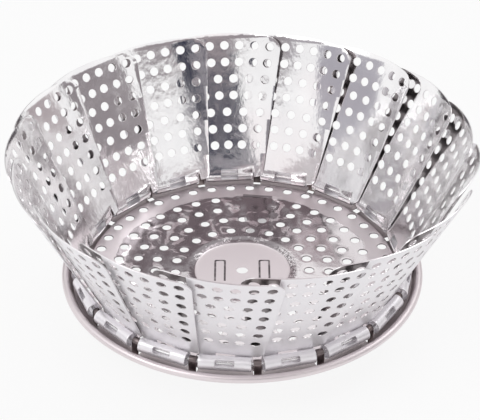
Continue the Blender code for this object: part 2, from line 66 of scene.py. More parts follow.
Point = tuple[float, float]
Corner = tuple[float, float, float]
Chosen = Callable[[Any], bool]
Form = Callable[[float, float], Vector]
Finish = bpy.types.Material
Socket = bpy.types.NodeSocket


class Joining(Enum):
    """How a tool changes the piece it is combined with."""

    WELD = "UNION"
    PUNCH = "DIFFERENCE"


class Lay(Enum):
    """What the polishing follows, and how it stretches the lines and the flecks."""

    SHEET = ((1, 0.03, 1), (1, 0.55, 1))
    ROUND = ((0.06, 1, 1), (1, 1, 1))


class Piece:
    """A piece on the bench, modelled by hand with Blender's operators."""

    def __init__(self, name: str, item: bpy.types.Object | None = None) -> None:
        """Take up an object, or else the one just added, under a name."""
        self.object = item or bpy.context.object
        self.object.name = name

    @property
    def mesh(self) -> bpy.types.Mesh:
        """The piece's own mesh."""
        return self.object.data

    @staticmethod
    def pick(*pieces: "Piece") -> None:
        """Select only these pieces and make the first one active.

        Args:
            pieces: The pieces to work on; none clears the selection.
        """
        bpy.ops.object.select_all(action="DESELECT")
        for piece in pieces:
            piece.object.select_set(True)
        bpy.context.view_layer.objects.active = pieces[0].object if pieces else None

    @classmethod
    def start(cls, name: str, primitive: Callable, **sizes: Any) -> "Piece":
        """Start from a primitive, with nothing else selected.

        Args:
            name: The piece's name.
            primitive: The operator that adds the primitive.
            sizes: The primitive's sizes.

        Returns:
            The piece.
        """
        cls.pick()
        primitive(**sizes)
        return cls(name)

    @classmethod
    def loop(cls, name: str, places: Sequence[Corner], fill: str) -> "Piece":
        """Start from a closed loop of points.

        Args:
            name: The piece's name.
            places: The points, in order.
            fill: How the primitive fills the loop.

        Returns:
            The loop.
        """
        circle = bpy.ops.mesh.primitive_circle_add
        piece = cls.start(name, circle, vertices=len(places), fill_type=fill)
        for vertex, place in zip(piece.mesh.vertices, places):
            vertex.co = place
        return piece

    @classmethod
    def plate(cls, name: str, outline: Sequence[Point], low: float, high: float) -> "Piece":
        """Cut a flat plate to an outline.

        Args:
            name: The plate's name.
            outline: The corners of its outline, in order.
            low: The height of its lower face.
            high: The height of its upper face.

        Returns:
            The plate, a closed solid.
        """
        plate = cls.loop(name, [(x, y, low) for x, y in outline], "NGON")
        with plate.editing():
            bpy.ops.mesh.extrude_region_move(TRANSFORM_OT_translate={"value": (0, 0, high - low)})
            bpy.ops.mesh.select_all(action="SELECT")
            bpy.ops.mesh.normals_make_consistent(inside=False)
        return plate

    @classmethod
    def turned(cls, name: str, section: Sequence[Point], steps: int) -> "Piece":
        """Turn a closed section about the Z axis.

        Args:
            name: The piece's name.
            section: Radius and height of the section's corners.
            steps: How many facets go round.

        Returns:
            The turned solid.
        """
        piece = cls.loop(name, [(radius, 0, height) for radius, height in section], "NOTHING")
        with piece.editing():
            bpy.ops.mesh.spin(steps=steps, angle=2 * pi, center=(0, 0, 0), axis=(0, 0, 1))
            bpy.ops.mesh.select_all(action="SELECT")
            bpy.ops.mesh.remove_doubles(threshold=TINY)
            bpy.ops.mesh.delete_loose()
            bpy.ops.mesh.select_all(action="SELECT")
            bpy.ops.mesh.normals_make_consistent(inside=False)
        return piece

    @classmethod
    def rod(cls, name: str, sides: int, radius: float, depth: float) -> "Piece":
        """Start from a round rod about the Z axis."""
        cylinder = bpy.ops.mesh.primitive_cylinder_add
        return cls.start(name, cylinder, vertices=sides, radius=radius, depth=depth)

    @classmethod
    def hole_punch(cls, radius: float, sheet: float, flare: float, sides: int) -> "Piece":
        """Make a round punch whose ends flare, so that the hole it leaves has eased rims.

        Args:
            radius: The hole's radius.
            sheet: The thickness of the sheet, which lies about height zero.
            flare: The width of the eased rim.
            sides: The facets round the punch.

        Returns:
            The punch.
        """
        punch = cls.rod("hole", sides, radius, sheet - 2 * flare)
        reach = flare + OVERRUN
        spread = (radius + reach) / radius
        for side in (-1, 1):
            move = {"value": (0, 0, side * reach)}
            with punch.choosing(lambda face: face.normal.z * side > FACING):
                bpy.ops.mesh.extrude_region_move(TRANSFORM_OT_translate=move)
                bpy.ops.transform.resize(value=(spread, spread, 1), center_override=(0, 0, 0))
        return punch

    @contextmanager
    def editing(self) -> Iterator[None]:
        """Open the piece in edit mode with all of it selected, and close it again."""
        Piece.pick(self)
        bpy.ops.object.mode_set(mode="EDIT")
        bpy.ops.mesh.select_all(action="SELECT")
        yield
        bpy.ops.object.mode_set(mode="OBJECT")

    @contextmanager
    def choosing(self, wanted: Chosen, edges: bool = False) -> Iterator[None]:
        """Open the piece in edit mode with only some of its faces or edges selected.

        Args:
            wanted: Tells whether a face or an edge is selected.
            edges: Whether edges are chosen, and not faces.
        """
        bpy.context.tool_settings.mesh_select_mode = (False, edges, not edges)
        with self.editing():
            bpy.ops.mesh.select_all(action="DESELECT")
        for item in self.mesh.edges if edges else self.mesh.polygons:
            item.select = wanted(item)
        bpy.ops.object.mode_set(mode="EDIT")
        yield
        bpy.ops.object.mode_set(mode="OBJECT")
        bpy.context.tool_settings.mesh_select_mode = (True, False, False)

    def ease(self, width: float, wanted: Chosen, facets: int = 2) -> None:
        """Round the wanted edges off to a width, in some facets."""
        with self.choosing(wanted, edges=True):
            bpy.ops.mesh.bevel(offset=width, segments=facets, affect="EDGES", clamp_overlap=True)

    def ease_rims(self, width: float) -> None:
        """Round off the rims of a flat plate's two faces."""
        level = [v.co.z for v in self.mesh.vertices]
        self.ease(width, lambda edge: abs(level[edge.vertices[0]] - level[edge.vertices[1]]) < TINY)

    def score(self, direction: Vector, places: Sequence[float]) -> None:
        """Divide the plate along straight lines, so that it can be formed smoothly.

        Args:
            direction: The direction across the lines.
            places: Where along that direction each line lies.
        """
        with self.editing():
            for place in places:
                bpy.ops.mesh.select_all(action="SELECT")
                bpy.ops.mesh.bisect(plane_co=direction * place, plane_no=direction, threshold=TINY)

    def apply(self, kind: str, **settings: Any) -> None:
        """Add a modifier and apply it.

        Args:
            kind: The modifier's type.
            settings: Its settings.
        """
        modifier = self.object.modifiers.new(kind, kind)
        for name, value in settings.items():
            setattr(modifier, name, value)
        Piece.pick(self)
        bpy.ops.object.modifier_apply(modifier=modifier.name)

    def combine(self, tool: "Piece", kind: Joining) -> None:
        """Weld a tool to the piece or punch it out, and use the tool up.

        Args:
            tool: The closed shape, whose finish its faces keep if it has one.
            kind: How it changes the piece.
        """
        settings = {"solver": "EXACT", "material_mode": "TRANSFER"}
        self.apply("BOOLEAN", operation=kind.value, object=tool.object, **settings)
        tool.scrap()

    def scrap(self) -> None:
        """Remove the piece."""
        bpy.data.objects.remove(self.object, do_unlink=True)

    def copy(self, name: str, place: Matrix = Matrix()) -> "Piece":
        """Copy the piece, with a mesh of its own.

        Args:
            name: The copy's name.
            place: Where the copy goes.

        Returns:
            The copy.
        """
        twin = Piece(name, self.object.copy())
        twin.object.data = self.mesh.copy()
        twin.mesh.transform(place)
        bpy.context.scene.collection.objects.link(twin.object)
        return twin

    @staticmethod
    def joined(pieces: Sequence["Piece"]) -> "Piece":
        """Join pieces into the first of them.

        Args:
            pieces: The pieces.

        Returns:
            The joined piece.
        """
        Piece.pick(*pieces)
        bpy.ops.object.join()
        return pieces[0]

    def repeat(self, places: Iterable[Matrix]) -> "Piece":
        """Copy the piece to many places, and use it up.

        Args:
            places: Where each copy goes.

        Returns:
            The joined copies.
        """
        copies = [self.copy(self.object.name, place) for place in places]
        self.scrap()
        return Piece.joined(copies)

    def chart(self) -> None:
        """Lay the flat piece out as a UV map in metres, before it is formed."""
        while self.mesh.uv_layers:
            self.mesh.uv_layers.remove(self.mesh.uv_layers[0])
        layer = self.mesh.uv_layers.new(name="sheet")
        corners = np.empty(len(self.mesh.loops), np.int32)
        self.mesh.loops.foreach_get("vertex_index", corners)
        places = np.empty(len(self.mesh.vertices) * 3, np.float32)
        self.mesh.vertices.foreach_get("co", places)
        layer.data.foreach_set("uv", places.reshape(-1, 3)[corners, :2].ravel())

    def form(self, middle: Form, side: int = 1) -> None:
        """Split the flat piece into triangles and press it into shape.

        Args:
            middle: Gives a point of the middle of the sheet its formed place.
            side: Where the upper face comes to lie, 1 or -1.
        """
        self.apply("TRIANGULATE")
        for vertex in self.mesh.vertices:
            x, y, lift = vertex.co
            across = middle(x + PRESS_STEP, y) - middle(x - PRESS_STEP, y)
            ahead = middle(x, y + PRESS_STEP) - middle(x, y - PRESS_STEP)
            vertex.co = middle(x, y) + across.cross(ahead).normalized() * (lift * side)

    def dress(self, finish: Finish) -> "Piece":
        """Give the whole piece one finish.

        Args:
            finish: The finish.

        Returns:
            The piece.
        """
        self.mesh.materials.clear()
        self.mesh.materials.append(finish)
        return self

    def coat(self, finish: Finish, chosen: Chosen) -> None:
        """Give some faces a finish of their own.

        Args:
            finish: The finish.
            chosen: Tells whether a face gets it.
        """
        self.mesh.materials.append(finish)
        slot = len(self.mesh.materials) - 1
        for face in self.mesh.polygons:
            if chosen(face):
                face.material_index = slot

    def deliver(self, body: str, slot: str, node: str, sharp: float = radians(38)) -> None:
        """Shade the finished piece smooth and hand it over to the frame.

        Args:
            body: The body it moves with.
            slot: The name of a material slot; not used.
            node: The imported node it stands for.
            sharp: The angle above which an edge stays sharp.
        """
        self.mesh.shade_smooth()
        self.mesh.set_sharp_from_angle(angle=sharp)
        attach(self.object, body)
        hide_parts(node)
        LOG.info("%s: %d faces, rides on %s", self.object.name, len(self.mesh.polygons), body)


class Value:
    """A number socket that adds Math nodes when it is used in an expression."""

    def __init__(self, recipe: "Recipe", socket: Socket) -> None:
        """Wrap an output socket that holds a number."""
        self.recipe = recipe
        self.socket = socket

    def math(self, operation: str, *inputs: Any) -> "Value":
        """Add a Math node with its operation and its inputs, in order."""
        node = self.recipe.add("ShaderNodeMath", dict(enumerate(inputs)), operation=operation)
        return Value(self.recipe, node.outputs[0])

    def __add__(self, other: Any) -> "Value":
        """Add."""
        return self.math("ADD", self, other)

    def __sub__(self, other: Any) -> "Value":
        """Subtract."""
        return self.math("SUBTRACT", self, other)

    def __rsub__(self, other: Any) -> "Value":
        """Subtract from a number."""
        return self.math("SUBTRACT", other, self)

    def __mul__(self, other: Any) -> "Value":
        """Multiply."""
        return self.math("MULTIPLY", self, other)

    __radd__ = __add__
    __rmul__ = __mul__

    def greater(self, other: Any) -> "Value":
        """Take the greater of this value and another."""
        return self.math("MAXIMUM", self, other)

    def reach(self, other: "Value") -> "Value":
        """Take the distance that this value and another span, square to each other."""
        return self.math("SQRT", self * self + other * other)

    def above(self, low: float, high: float) -> "Value":
        """Rise smoothly from 0 at the low value to 1 at the high value.

        Args:
            low: Where the rise starts.
            high: Where it ends.

        Returns:
            The share, from 0 to 1.
        """
        inputs = {"Value": self, "From Min": low, "From Max": high}
        node = self.recipe.add("ShaderNodeMapRange", inputs, interpolation_type="SMOOTHSTEP")
        return Value(self.recipe, node.outputs["Result"])

    def past(self, edge: float, soft: float) -> "Value":
        """Rise from 0 to 1 across an edge that is soft to each side."""
        return self.above(edge - soft, edge + soft)


class Recipe:
    """The nodes of one material, or of the surroundings."""

    def __init__(self, name: str, world: bpy.types.World | None = None) -> None:
        """Start a material with its Principled shader, or the surroundings with their background.

        Args:
            name: The material's name.
            world: The surroundings to fill, in place of a new material.
        """
        self.material = world or bpy.data.materials.new(name)
        self.material.use_nodes = True
        self.tree = self.material.node_tree
        self.shader = self.tree.nodes["Background" if world else "Principled BSDF"]

    def feed(self, node: bpy.types.Node, inputs: Mapping[Any, Any]) -> None:
        """Link the sockets of a node, or set their values.

        Args:
            node: The node.
            inputs: A number, a tuple, a wrapped value or an output socket for each of its inputs.
        """
        for name, value in inputs.items():
            value = value.socket if isinstance(value, Value) else value
            if isinstance(value, Socket):
                self.tree.links.new(value, node.inputs[name])
            else:
                node.inputs[name].default_value = value

    def add(
        self, kind: str, inputs: Mapping[Any, Any] | None = None, **settings: Any
    ) -> bpy.types.Node:
        """Add a node.

        Args:
            kind: The node's type.
            inputs: The value or the link of each socket, by name or number.
            settings: Its settings, which are set first.

        Returns:
            The node.
        """
        node = self.tree.nodes.new(kind)
        for name, value in settings.items():
            setattr(node, name, value)
        self.feed(node, inputs or {})
        return node

    def finished(self, inputs: Mapping[str, Any]) -> Finish:
        """Feed the shader's own sockets, and hand the material back."""
        self.feed(self.shader, inputs)
        return self.material

    def place(self) -> Socket:
        """Take the coordinates on the object."""
        return self.add("ShaderNodeTexCoord").outputs["Object"]

    def axes(self, place: Socket) -> tuple[Value, ...]:
        """Take coordinates apart into X, Y and Z."""
        node = self.add("ShaderNodeSeparateXYZ", {0: place})
        return tuple(Value(self, socket) for socket in node.outputs)

    def noise(
        self,
        place: Socket,
        scale: float,
        detail: float,
        stretch: tuple = (1, 1, 1),
        warp: float = 0.0,
    ) -> Value:
        """Add a noise pattern.

        Args:
            place: The coordinates.
            scale: How fine the pattern is, in features per metre.
            detail: How many finer layers it has.
            stretch: A share of the scale along each axis.
            warp: How much the pattern swirls.

        Returns:
            The pattern, about 0.5.
        """
        mapped = self.add("ShaderNodeMapping", {"Vector": place, "Scale": stretch}).outputs[0]
        inputs = {"Vector": mapped, "Scale": scale, "Detail": detail, "Distortion": warp}
        return Value(self, self.add("ShaderNodeTexNoise", inputs, noise_dimensions="3D").outputs[0])

    def blend(self, share: Any, first: Any, second: Any) -> Socket:
        """Mix two colours, by the share of the second one."""
        node = self.add("ShaderNodeMix", {0: share, 6: first, 7: second}, data_type="RGBA")
        return node.outputs[2]

    def relief(self, *layers: tuple[Value, float]) -> Socket:
        """Stack bumps on each other.

        Args:
            layers: The pattern of each bump and its height in metres, the lowest bump first.

        Returns:
            The normal.
        """
        under = {}
        for height, depth in layers:
            inputs = {"Height": height, "Distance": depth, "Strength": 1.0}
            under = {"Normal": self.add("ShaderNodeBump", inputs | under).outputs[0]}
        return under["Normal"]


def around(azimuth: float, radius: float, height: float = 0.0) -> Vector:
    """Place at a radius and azimuth."""
    return Vector((radius * sin(azimuth), radius * cos(azimuth), height))


def stand(azimuth: float, radius: float = 0.0, height: float = 0.0, tilt: float = 0.0) -> Matrix:
    """Stand a piece at an azimuth, tilted up, with its +Y outwards and its +X clockwise."""
    turn = Matrix.Rotation(-azimuth, 4, "Z") @ Matrix.Rotation(tilt, 4, "X")
    return Matrix.Translation(around(azimuth, radius, height)) @ turn


def spaced(first: float, count: int, shift: float = 0.0) -> list[float]:
    """List evenly spaced azimuths, all shifted by a share of their spacing."""
    return [first + 2 * pi * (i + shift) / count for i in range(count)]


def mirrored(points: Sequence[Point]) -> list[Point]:
    """List the points of the other side, in the opposite order."""
    return [(-x, y) for x, y in reversed(points)]


def arc(centre: Point, radius: float, start: float, end: float, steps: int) -> list[Point]:
    """List the points along an arc, both ends included.

    Args:
        centre: The arc's centre.
        radius: Its radius.
        start: Its first angle, counted from the first axis.
        end: Its last angle.
        steps: How many facets it has.

    Returns:
        The points.
    """
    angles = [start + (end - start) / steps * i for i in range(steps + 1)]
    return [(centre[0] + radius * cos(a), centre[1] + radius * sin(a)) for a in angles]


def rounded(corners: Sequence[Corner], steps: int) -> list[Point]:
    """Round the corners of an open line.

    Args:
        corners: The two coordinates and the rounding radius of each corner.
        steps: The facets of each rounding.

    Returns:
        The points of the rounded line.
    """
    line = [corners[0][:2]]
    for before, here, after in zip(corners, corners[1:], corners[2:]):
        corner = Vector(here[:2])
        back = (Vector(before[:2]) - corner).normalized()
        ahead = (Vector(after[:2]) - corner).normalized()
        half = acos(max(-1.0, min(1.0, back.dot(ahead)))) / 2
        reach = here[2] / tan(half)
        middle = corner + (back + ahead).normalized() * (here[2] / sin(half))
        first = corner + back * reach - middle
        last = corner + ahead * reach - middle
        start = atan2(first.y, first.x)
        swing = (atan2(last.y, last.x) - start + pi) % (2 * pi) - pi
        line.extend(arc(tuple(middle), here[2], start, start + swing, steps))
    line.append(corners[-1][:2])
    return line


def arch(start: float, end: float, root: float, top: float, bend: float, steps: int) -> list[Point]:
    """List the points of an arch with two rounded corners.

    Args:
        start: The first coordinate of its first side.
        end: The first coordinate of its last side.
        root: The second coordinate of its feet.
        top: The second coordinate of its top.
        bend: The rounding radius.
        steps: The facets of each rounding.

    Returns:
        The points, from one foot to the other.
    """
    return rounded([(start, root, 0), (start, top, bend), (end, top, bend), (end, root, 0)], steps)


def sheet_section(line: Sequence[Point], sheet: float) -> list[Point]:
    """Give an open line the thickness of a sheet.

    Args:
        line: The middle of the sheet.
        sheet: Its thickness.

    Returns:
        The closed section.
    """
    points = [Vector(p) for p in line]
    upper, lower = [], []
    for i, point in enumerate(points):
        ahead = points[min(i + 1, len(points) - 1)] - points[max(i - 1, 0)]
        side = Vector((-ahead.y, ahead.x)).normalized() * sheet / 2
        upper.append(tuple(point + side))
        lower.append(tuple(point - side))
    return upper + lower[::-1]


@dataclass(frozen=True, kw_only=True)
class Basket:
    """The sizes that several sub-assemblies share."""

    petal_count: int = 17
    first_petal: float = radians(-68.45)
    leg_count: int = 3
    first_leg: float = radians(7.2)
    disc_height: float = 0.0175
    disc_radius: float = 0.0604
    disc_hole_radius: float = 0.0018
    disc_hole_rows: tuple = (
        # radius, holes in each third, first and last azimuth from a leg
        (0.0575, 15, radians(4.0), radians(116.0)),
        (0.0490, 9, radians(20.0), radians(100.0)),
        (0.0415, 8, radians(21.2), radians(98.8)),
        (0.0340, 9, radians(6.67), radians(113.33)),
        (0.0262, 7, radians(0.0), radians(102.86)),
    )
    ring_radius: float = 0.0634
    wire_radius: float = 0.0007

    def legs(self) -> list[float]:
        """Azimuths of the legs."""
        return spaced(self.first_leg, self.leg_count)

    @staticmethod
    def ring_height() -> float:
        """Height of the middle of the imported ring."""
        low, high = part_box("hinge_ring")
        return (low.z + high.z) / 2


@dataclass(frozen=True)
class Steel:
    """Bare stainless sheet or wire: polished, with polishing lines, scratches, smears and dents."""

    name: str
    light: tuple = (0.95, 0.94, 0.945, 1)
    dark: tuple = (0.86, 0.85, 0.86, 1)
    warm: tuple = (0.92, 0.85, 0.865, 1)
    warmth: float = 0.55
    metallic: float = 1.0
    roughness: float = 0.075
    smear: float = 0.05
    rub: float = 0.05
    line_depth: float = 0.0000030
    line_scale: float = 2600
    stroke_scale: float = 520
    stroke_share: float = 0.6
    cloud_scale: float = 42
    cloud_tone: Point = (0.35, 0.65)
    cloud_haze: Point = (0.42, 0.7)
    patch_scale: float = 19
    patch_span: Point = (0.56, 0.74)
    grime_scale: float = 170
    grime_span: Point = (0.58, 0.72)
    dent_depth: float = 0.00014
    dent_scale: float = 55
    ripple_depth: float = 0.000055
    ripple_scale: float = 260
    fleck_depth: float = 0.000024
    fleck_scale: float = 950
    scratch_depth: float = 0.0000020
    scratch_stretch: tuple = (1, 0.02, 1)
    scratch_span: Point = (0.73, 0.76)
    scratch_runs: tuple = ((0.35, 900), (1.15, 760), (2.3, 830))  # direction and fineness
    lay: Lay = Lay.SHEET

    def make(self) -> Finish:
        """Build the material.

        Returns:
            The material.
        """
        recipe = Recipe(self.name)
        flat = place = recipe.place()
        if self.lay is Lay.SHEET:
            flat = recipe.add("ShaderNodeUVMap", uv_map="sheet").outputs[0]
        along, fleck_lay = self.lay.value
        lines = recipe.noise(flat, self.line_scale, 3, along)
        strokes = recipe.noise(flat, self.stroke_scale, 2, along)
        clouds = recipe.noise(place, self.cloud_scale, 3)
        patches = recipe.noise(place, self.patch_scale, 2).above(*self.patch_span)
        grime = recipe.noise(place, self.grime_scale, 4).above(*self.grime_span)
        scratches = reduce(add, [self.scratched(recipe, flat, *run) for run in self.scratch_runs])
        shade = recipe.blend(clouds.above(*self.cloud_tone), self.dark, self.light)
        rough = self.roughness + clouds.above(*self.cloud_haze) * self.smear + strokes * self.rub
        normal = recipe.relief(
            (recipe.noise(place, self.dent_scale, 1.5), self.dent_depth),
            (recipe.noise(place, self.ripple_scale, 1), self.ripple_depth),
            (recipe.noise(flat, self.fleck_scale, 2, fleck_lay), self.fleck_depth),
            (lines + strokes * self.stroke_share, self.line_depth),
            (1 - scratches, self.scratch_depth),
        )
        return recipe.finished({
            "Base Color": recipe.blend(patches * self.warmth, shade, self.warm),
            "Metallic": self.metallic,
            "Roughness": rough + grime * self.smear + scratches * self.rub,
            "Normal": normal,
        })

    def scratched(self, recipe: Recipe, place: Socket, turn: float, scale: float) -> Value:
        """Add fine stray scratches in one direction.

        Args:
            recipe: The material.
            place: The coordinates.
            turn: The direction.
            scale: How fine the scratches are.

        Returns:
            The scratches' share, 1 in a scratch.
        """
        turned = recipe.add("ShaderNodeMapping", {"Vector": place, "Rotation": (0, 0, turn)})
        lines = recipe.noise(turned.outputs[0], scale, 1, self.scratch_stretch)
        return lines.above(*self.scratch_span)


@dataclass(frozen=True)
class PlateSteel(Basket):
    """The base plate's sheet: satin boss and outer band, and between them a mirror zone.

    Its colour holds painted light. A painted dark reflection lies across the mirror zone, darker
    to one side and broken by painted light swirls. Over each leg lies a flat plate of painted dark
    reflection between strips of painted light swirl. The boss's slope has a painted dark
    reflection with specks, and the gutter and flange have a painted shade. Beside each leg the
    welds that hold the bracket under it dimple the sheet. An edge is a radius and how far it
    blurs to each side. An end or a span is where a change starts and where it is over. A scale
    is the fineness of a pattern, in features per metre.
    """

    name: str
    satin: tuple = (0.68, 0.625, 0.645, 1)
    boss: tuple = (0.79, 0.73, 0.75, 1)
    mirror: tuple = (0.82, 0.78, 0.795, 1)
    # painted dark reflection: the mirror zone, each leg's plate and the boss's slope
    dark: tuple = (0.29, 0.262, 0.276, 1)
    # painted shade on the gutter and flange, under the knuckles
    gutter: tuple = (0.47, 0.42, 0.43, 1)
    lip: tuple = (0.80, 0.735, 0.75, 1)
    boss_edge: Point = (0.0187, 0.0003)
    boss_wobble: float = 0.0012
    band_edge: Point = (0.0506, 0.0004)
    band_wobble: float = 0.0050
    wobble_scale: float = 95
    disc_blur: float = 0.0002
    lip_edge: Point = (0.0672, 0.0003)
    # where the painted dark reflection on the boss's slope ends, and the specks in it
    slope_end: Point = (0.0208, 0.0218)
    speck_scale: float = 1500
    speck_span: Point = (0.45, 0.55)
    speck_floor: float = 0.15
    # lean: painted dark reflection, darker to one side; swirl: painted light swirls breaking it up
    lean_x: float = 0.80
    lean_y: float = 0.60
    lean_sharpness: float = 28
    lean_scale: float = 60
    lean_wobble: float = 1.5
    lean_span: Point = (-0.55, 0.05)
    swirl_scale: float = 120
    swirl_warp: float = 1.6
    swirl_span: Point = (0.52, 0.60)
    swirl_share: float = 0.75
    satin_roughness: float = 0.40
    mirror_polish: float = 0.31
    smudge_scale: float = 210
    smudge_share: float = 0.10
    cloud_scale: float = 33
    cloud_share: float = 0.06
    wave_scale: float = 75
    wave_warp: float = 0.8
    wave_depth: float = 0.00022
    chatter_scale: float = 880
    chatter_end: Point = (0.0215, 0.0240)
    chatter_depth: float = 0.00011
    grain_scale: float = 2600
    grain_depth: float = 0.0000022
    halo_width: float = 0.0012
    halo_depth: float = 0.000055
    # the flat plate of painted dark reflection over each leg, with painted light strips beside it
    plate_half_width: float = 0.0059
    plate_start: float = 0.0393
    plate_end: float = 0.0520
    plate_blur: float = 0.0003
    taper_length: float = 0.0045
    taper_slope: float = 0.8
    strip_blur: float = 0.0004
    strip_end: Point = (0.0042, 0.0050)
    weld_aside: float = 0.0079
    weld_radii: tuple = (0.0423, 0.0487)
    weld_size: float = 0.0021
    weld_flat: float = 0.15
    weld_depth: float = 0.00028

    def make(self) -> Finish:
        """Build the material.

        Returns:
            The material.
        """
        recipe = Recipe(self.name)
        place = recipe.place()
        x, y, _ = recipe.axes(place)
        radius = x.reach(y)
        wobble = recipe.noise(place, self.wobble_scale, 2) - 0.5
        inner = (radius + wobble * self.boss_wobble).past(*self.boss_edge)
        middle = inner * (1 - (radius + wobble * self.band_wobble).past(*self.band_edge))
        lean = (y * self.lean_y - x * self.lean_x) * self.lean_sharpness
        lean = lean + (recipe.noise(place, self.lean_scale, 2) - 0.5) * self.lean_wobble
        # painted light swirls, breaking up the painted dark reflection
        light = recipe.noise(place, self.swirl_scale, 3, warp=self.swirl_warp)
        light = light.above(*self.swirl_span)
        # each leg's painted dark plate, the painted light strips by it, and the weld dimples
        painted_dark_plates, beside, welds = self.painted_plates_and_welds(x, y)
        # painted dark reflection with specks on the boss's slope
        painted_speck = recipe.noise(place, self.speck_scale, 1).above(*self.speck_span)
        painted_speck = self.speck_floor + painted_speck * (1 - self.speck_floor)
        slope = inner * (1 - radius.above(*self.slope_end)) * painted_speck
        # painted dark reflection over the mirror zone, darker towards one side
        shade = middle * lean.above(*self.lean_span) * (1 - light * self.swirl_share)
        tone = self.boss
        for share, colour in (
            (inner, self.satin),
            # painted shade on the gutter and flange
            (radius.past(self.disc_radius, self.disc_blur), self.gutter),
            (radius.past(*self.lip_edge), self.lip),
            (middle, self.mirror),
            # painted dark reflection: mirror zone, each leg's plate and the boss's slope
            (shade.greater(painted_dark_plates).greater(slope), self.dark),
            # painted light swirl on the strips beside each leg's plate
            (beside * light, self.mirror),
        ):
            tone = recipe.blend(share, tone, colour)
        smudges = (recipe.noise(place, self.smudge_scale, 4) - 0.5) * self.smudge_share
        clouds = recipe.noise(place, self.cloud_scale, 2) * self.cloud_share
        waves = recipe.noise(place, self.wave_scale, 2, warp=self.wave_warp) * middle
        chatter = recipe.noise(place, self.chatter_scale, 2) * inner
        chatter = chatter * (1 - radius.above(*self.chatter_end))
        normal = recipe.relief(
            (waves, self.wave_depth),
            (self.halo(x, y, radius), self.halo_depth),
            (chatter, self.chatter_depth),
            (welds, self.weld_depth),
            (recipe.noise(place, self.grain_scale, 2), self.grain_depth),
        )
        rough = self.satin_roughness - middle * self.mirror_polish + smudges + clouds
        inputs = {"Base Color": tone, "Metallic": 1.0, "Roughness": rough, "Normal": normal}
        return recipe.finished(inputs)

    def halo(self, x: Value, y: Value, radius: Value) -> Value:
        """Sink the sheet a little round every punched hole.

        Args:
            x: The X coordinate.
            y: The Y coordinate.
            radius: The distance from the axis.

        Returns:
            0 at the rim of a hole, rising to 1 away from it.
        """
        turn = x.math("ARCTAN2", x, y) + (2 * pi - self.first_leg)
        turn = turn.math("MODULO", turn, 2 * pi / self.leg_count)
        rises = []
        for row, count, first, last in self.disc_hole_rows:
            step = (last - first) / (count - 1)
            number = (turn - first) * (1 / step)
            number = number.math("ROUND", number).greater(0.0)
            number = number.math("MINIMUM", number, float(count - 1))
            distance = ((turn - first - number * step) * radius).reach(radius - row)
            rim = self.disc_hole_radius
            rises.append(distance.above(rim, rim + self.halo_width))
        return reduce(mul, rises)

    def painted_plates_and_welds(self, x: Value, y: Value) -> list[Value]:
        """Lay out each leg's painted dark plate, the painted light strips by it and its welds.

        Args:
            x: The X coordinate.
            y: The Y coordinate.

        Returns:
            The shares of the painted dark plate, of the painted light strips beside it
            and of the weld dimples.
        """
        wide, blur = self.plate_half_width, self.plate_blur
        painted_dark_plates, strips, welds = [], [], []
        for azimuth in self.legs():
            aside = x * cos(azimuth) - y * sin(azimuth)
            aside = aside.math("ABSOLUTE", aside)
            out = x * sin(azimuth) + y * cos(azimuth)
            length = out.above(self.plate_start, self.plate_start + blur)
            length = length * (1 - out.above(self.plate_end, self.plate_end + blur))
            taper = (self.plate_start + self.taper_length - out) * self.taper_slope
            within = 1 - (aside + taper.greater(0.0)).above(wide, wide + blur)
            strip = aside.above(wide, wide + self.strip_blur)
            strip = strip * (1 - aside.above(wide + self.strip_end[0], wide + self.strip_end[1]))
            painted_dark_plates.append(within * length)
            strips.append(strip * length)
            for place in self.weld_radii:
                distance = (aside - self.weld_aside).reach(out - place)
                welds.append(distance.above(self.weld_size * self.weld_flat, self.weld_size))
        return [reduce(add, parts) for parts in (painted_dark_plates, strips, welds)]


@dataclass(frozen=True)
class EdgeShade:
    """Near-black walls for punched holes, slits and windows: painted shade, with paler patches."""

    name: str
    tone: tuple = (0.13, 0.11, 0.12, 1)
    pale: tuple = (0.34, 0.31, 0.32, 1)
    roughness: float = 0.3
    wear_scale: float = 700
    wear_span: Point = (0.45, 0.7)
    wear_share: float = 0.2

    def make(self) -> Finish:
        """Build the material.

        Returns:
            The material.
        """
        recipe = Recipe(self.name)
        wear = recipe.noise(recipe.place(), self.wear_scale, 2).above(*self.wear_span)
        tone = recipe.blend(wear, self.tone, self.pale)
        rough = self.roughness + wear * self.wear_share
        return recipe.finished({"Base Color": tone, "Metallic": 1.0, "Roughness": rough})


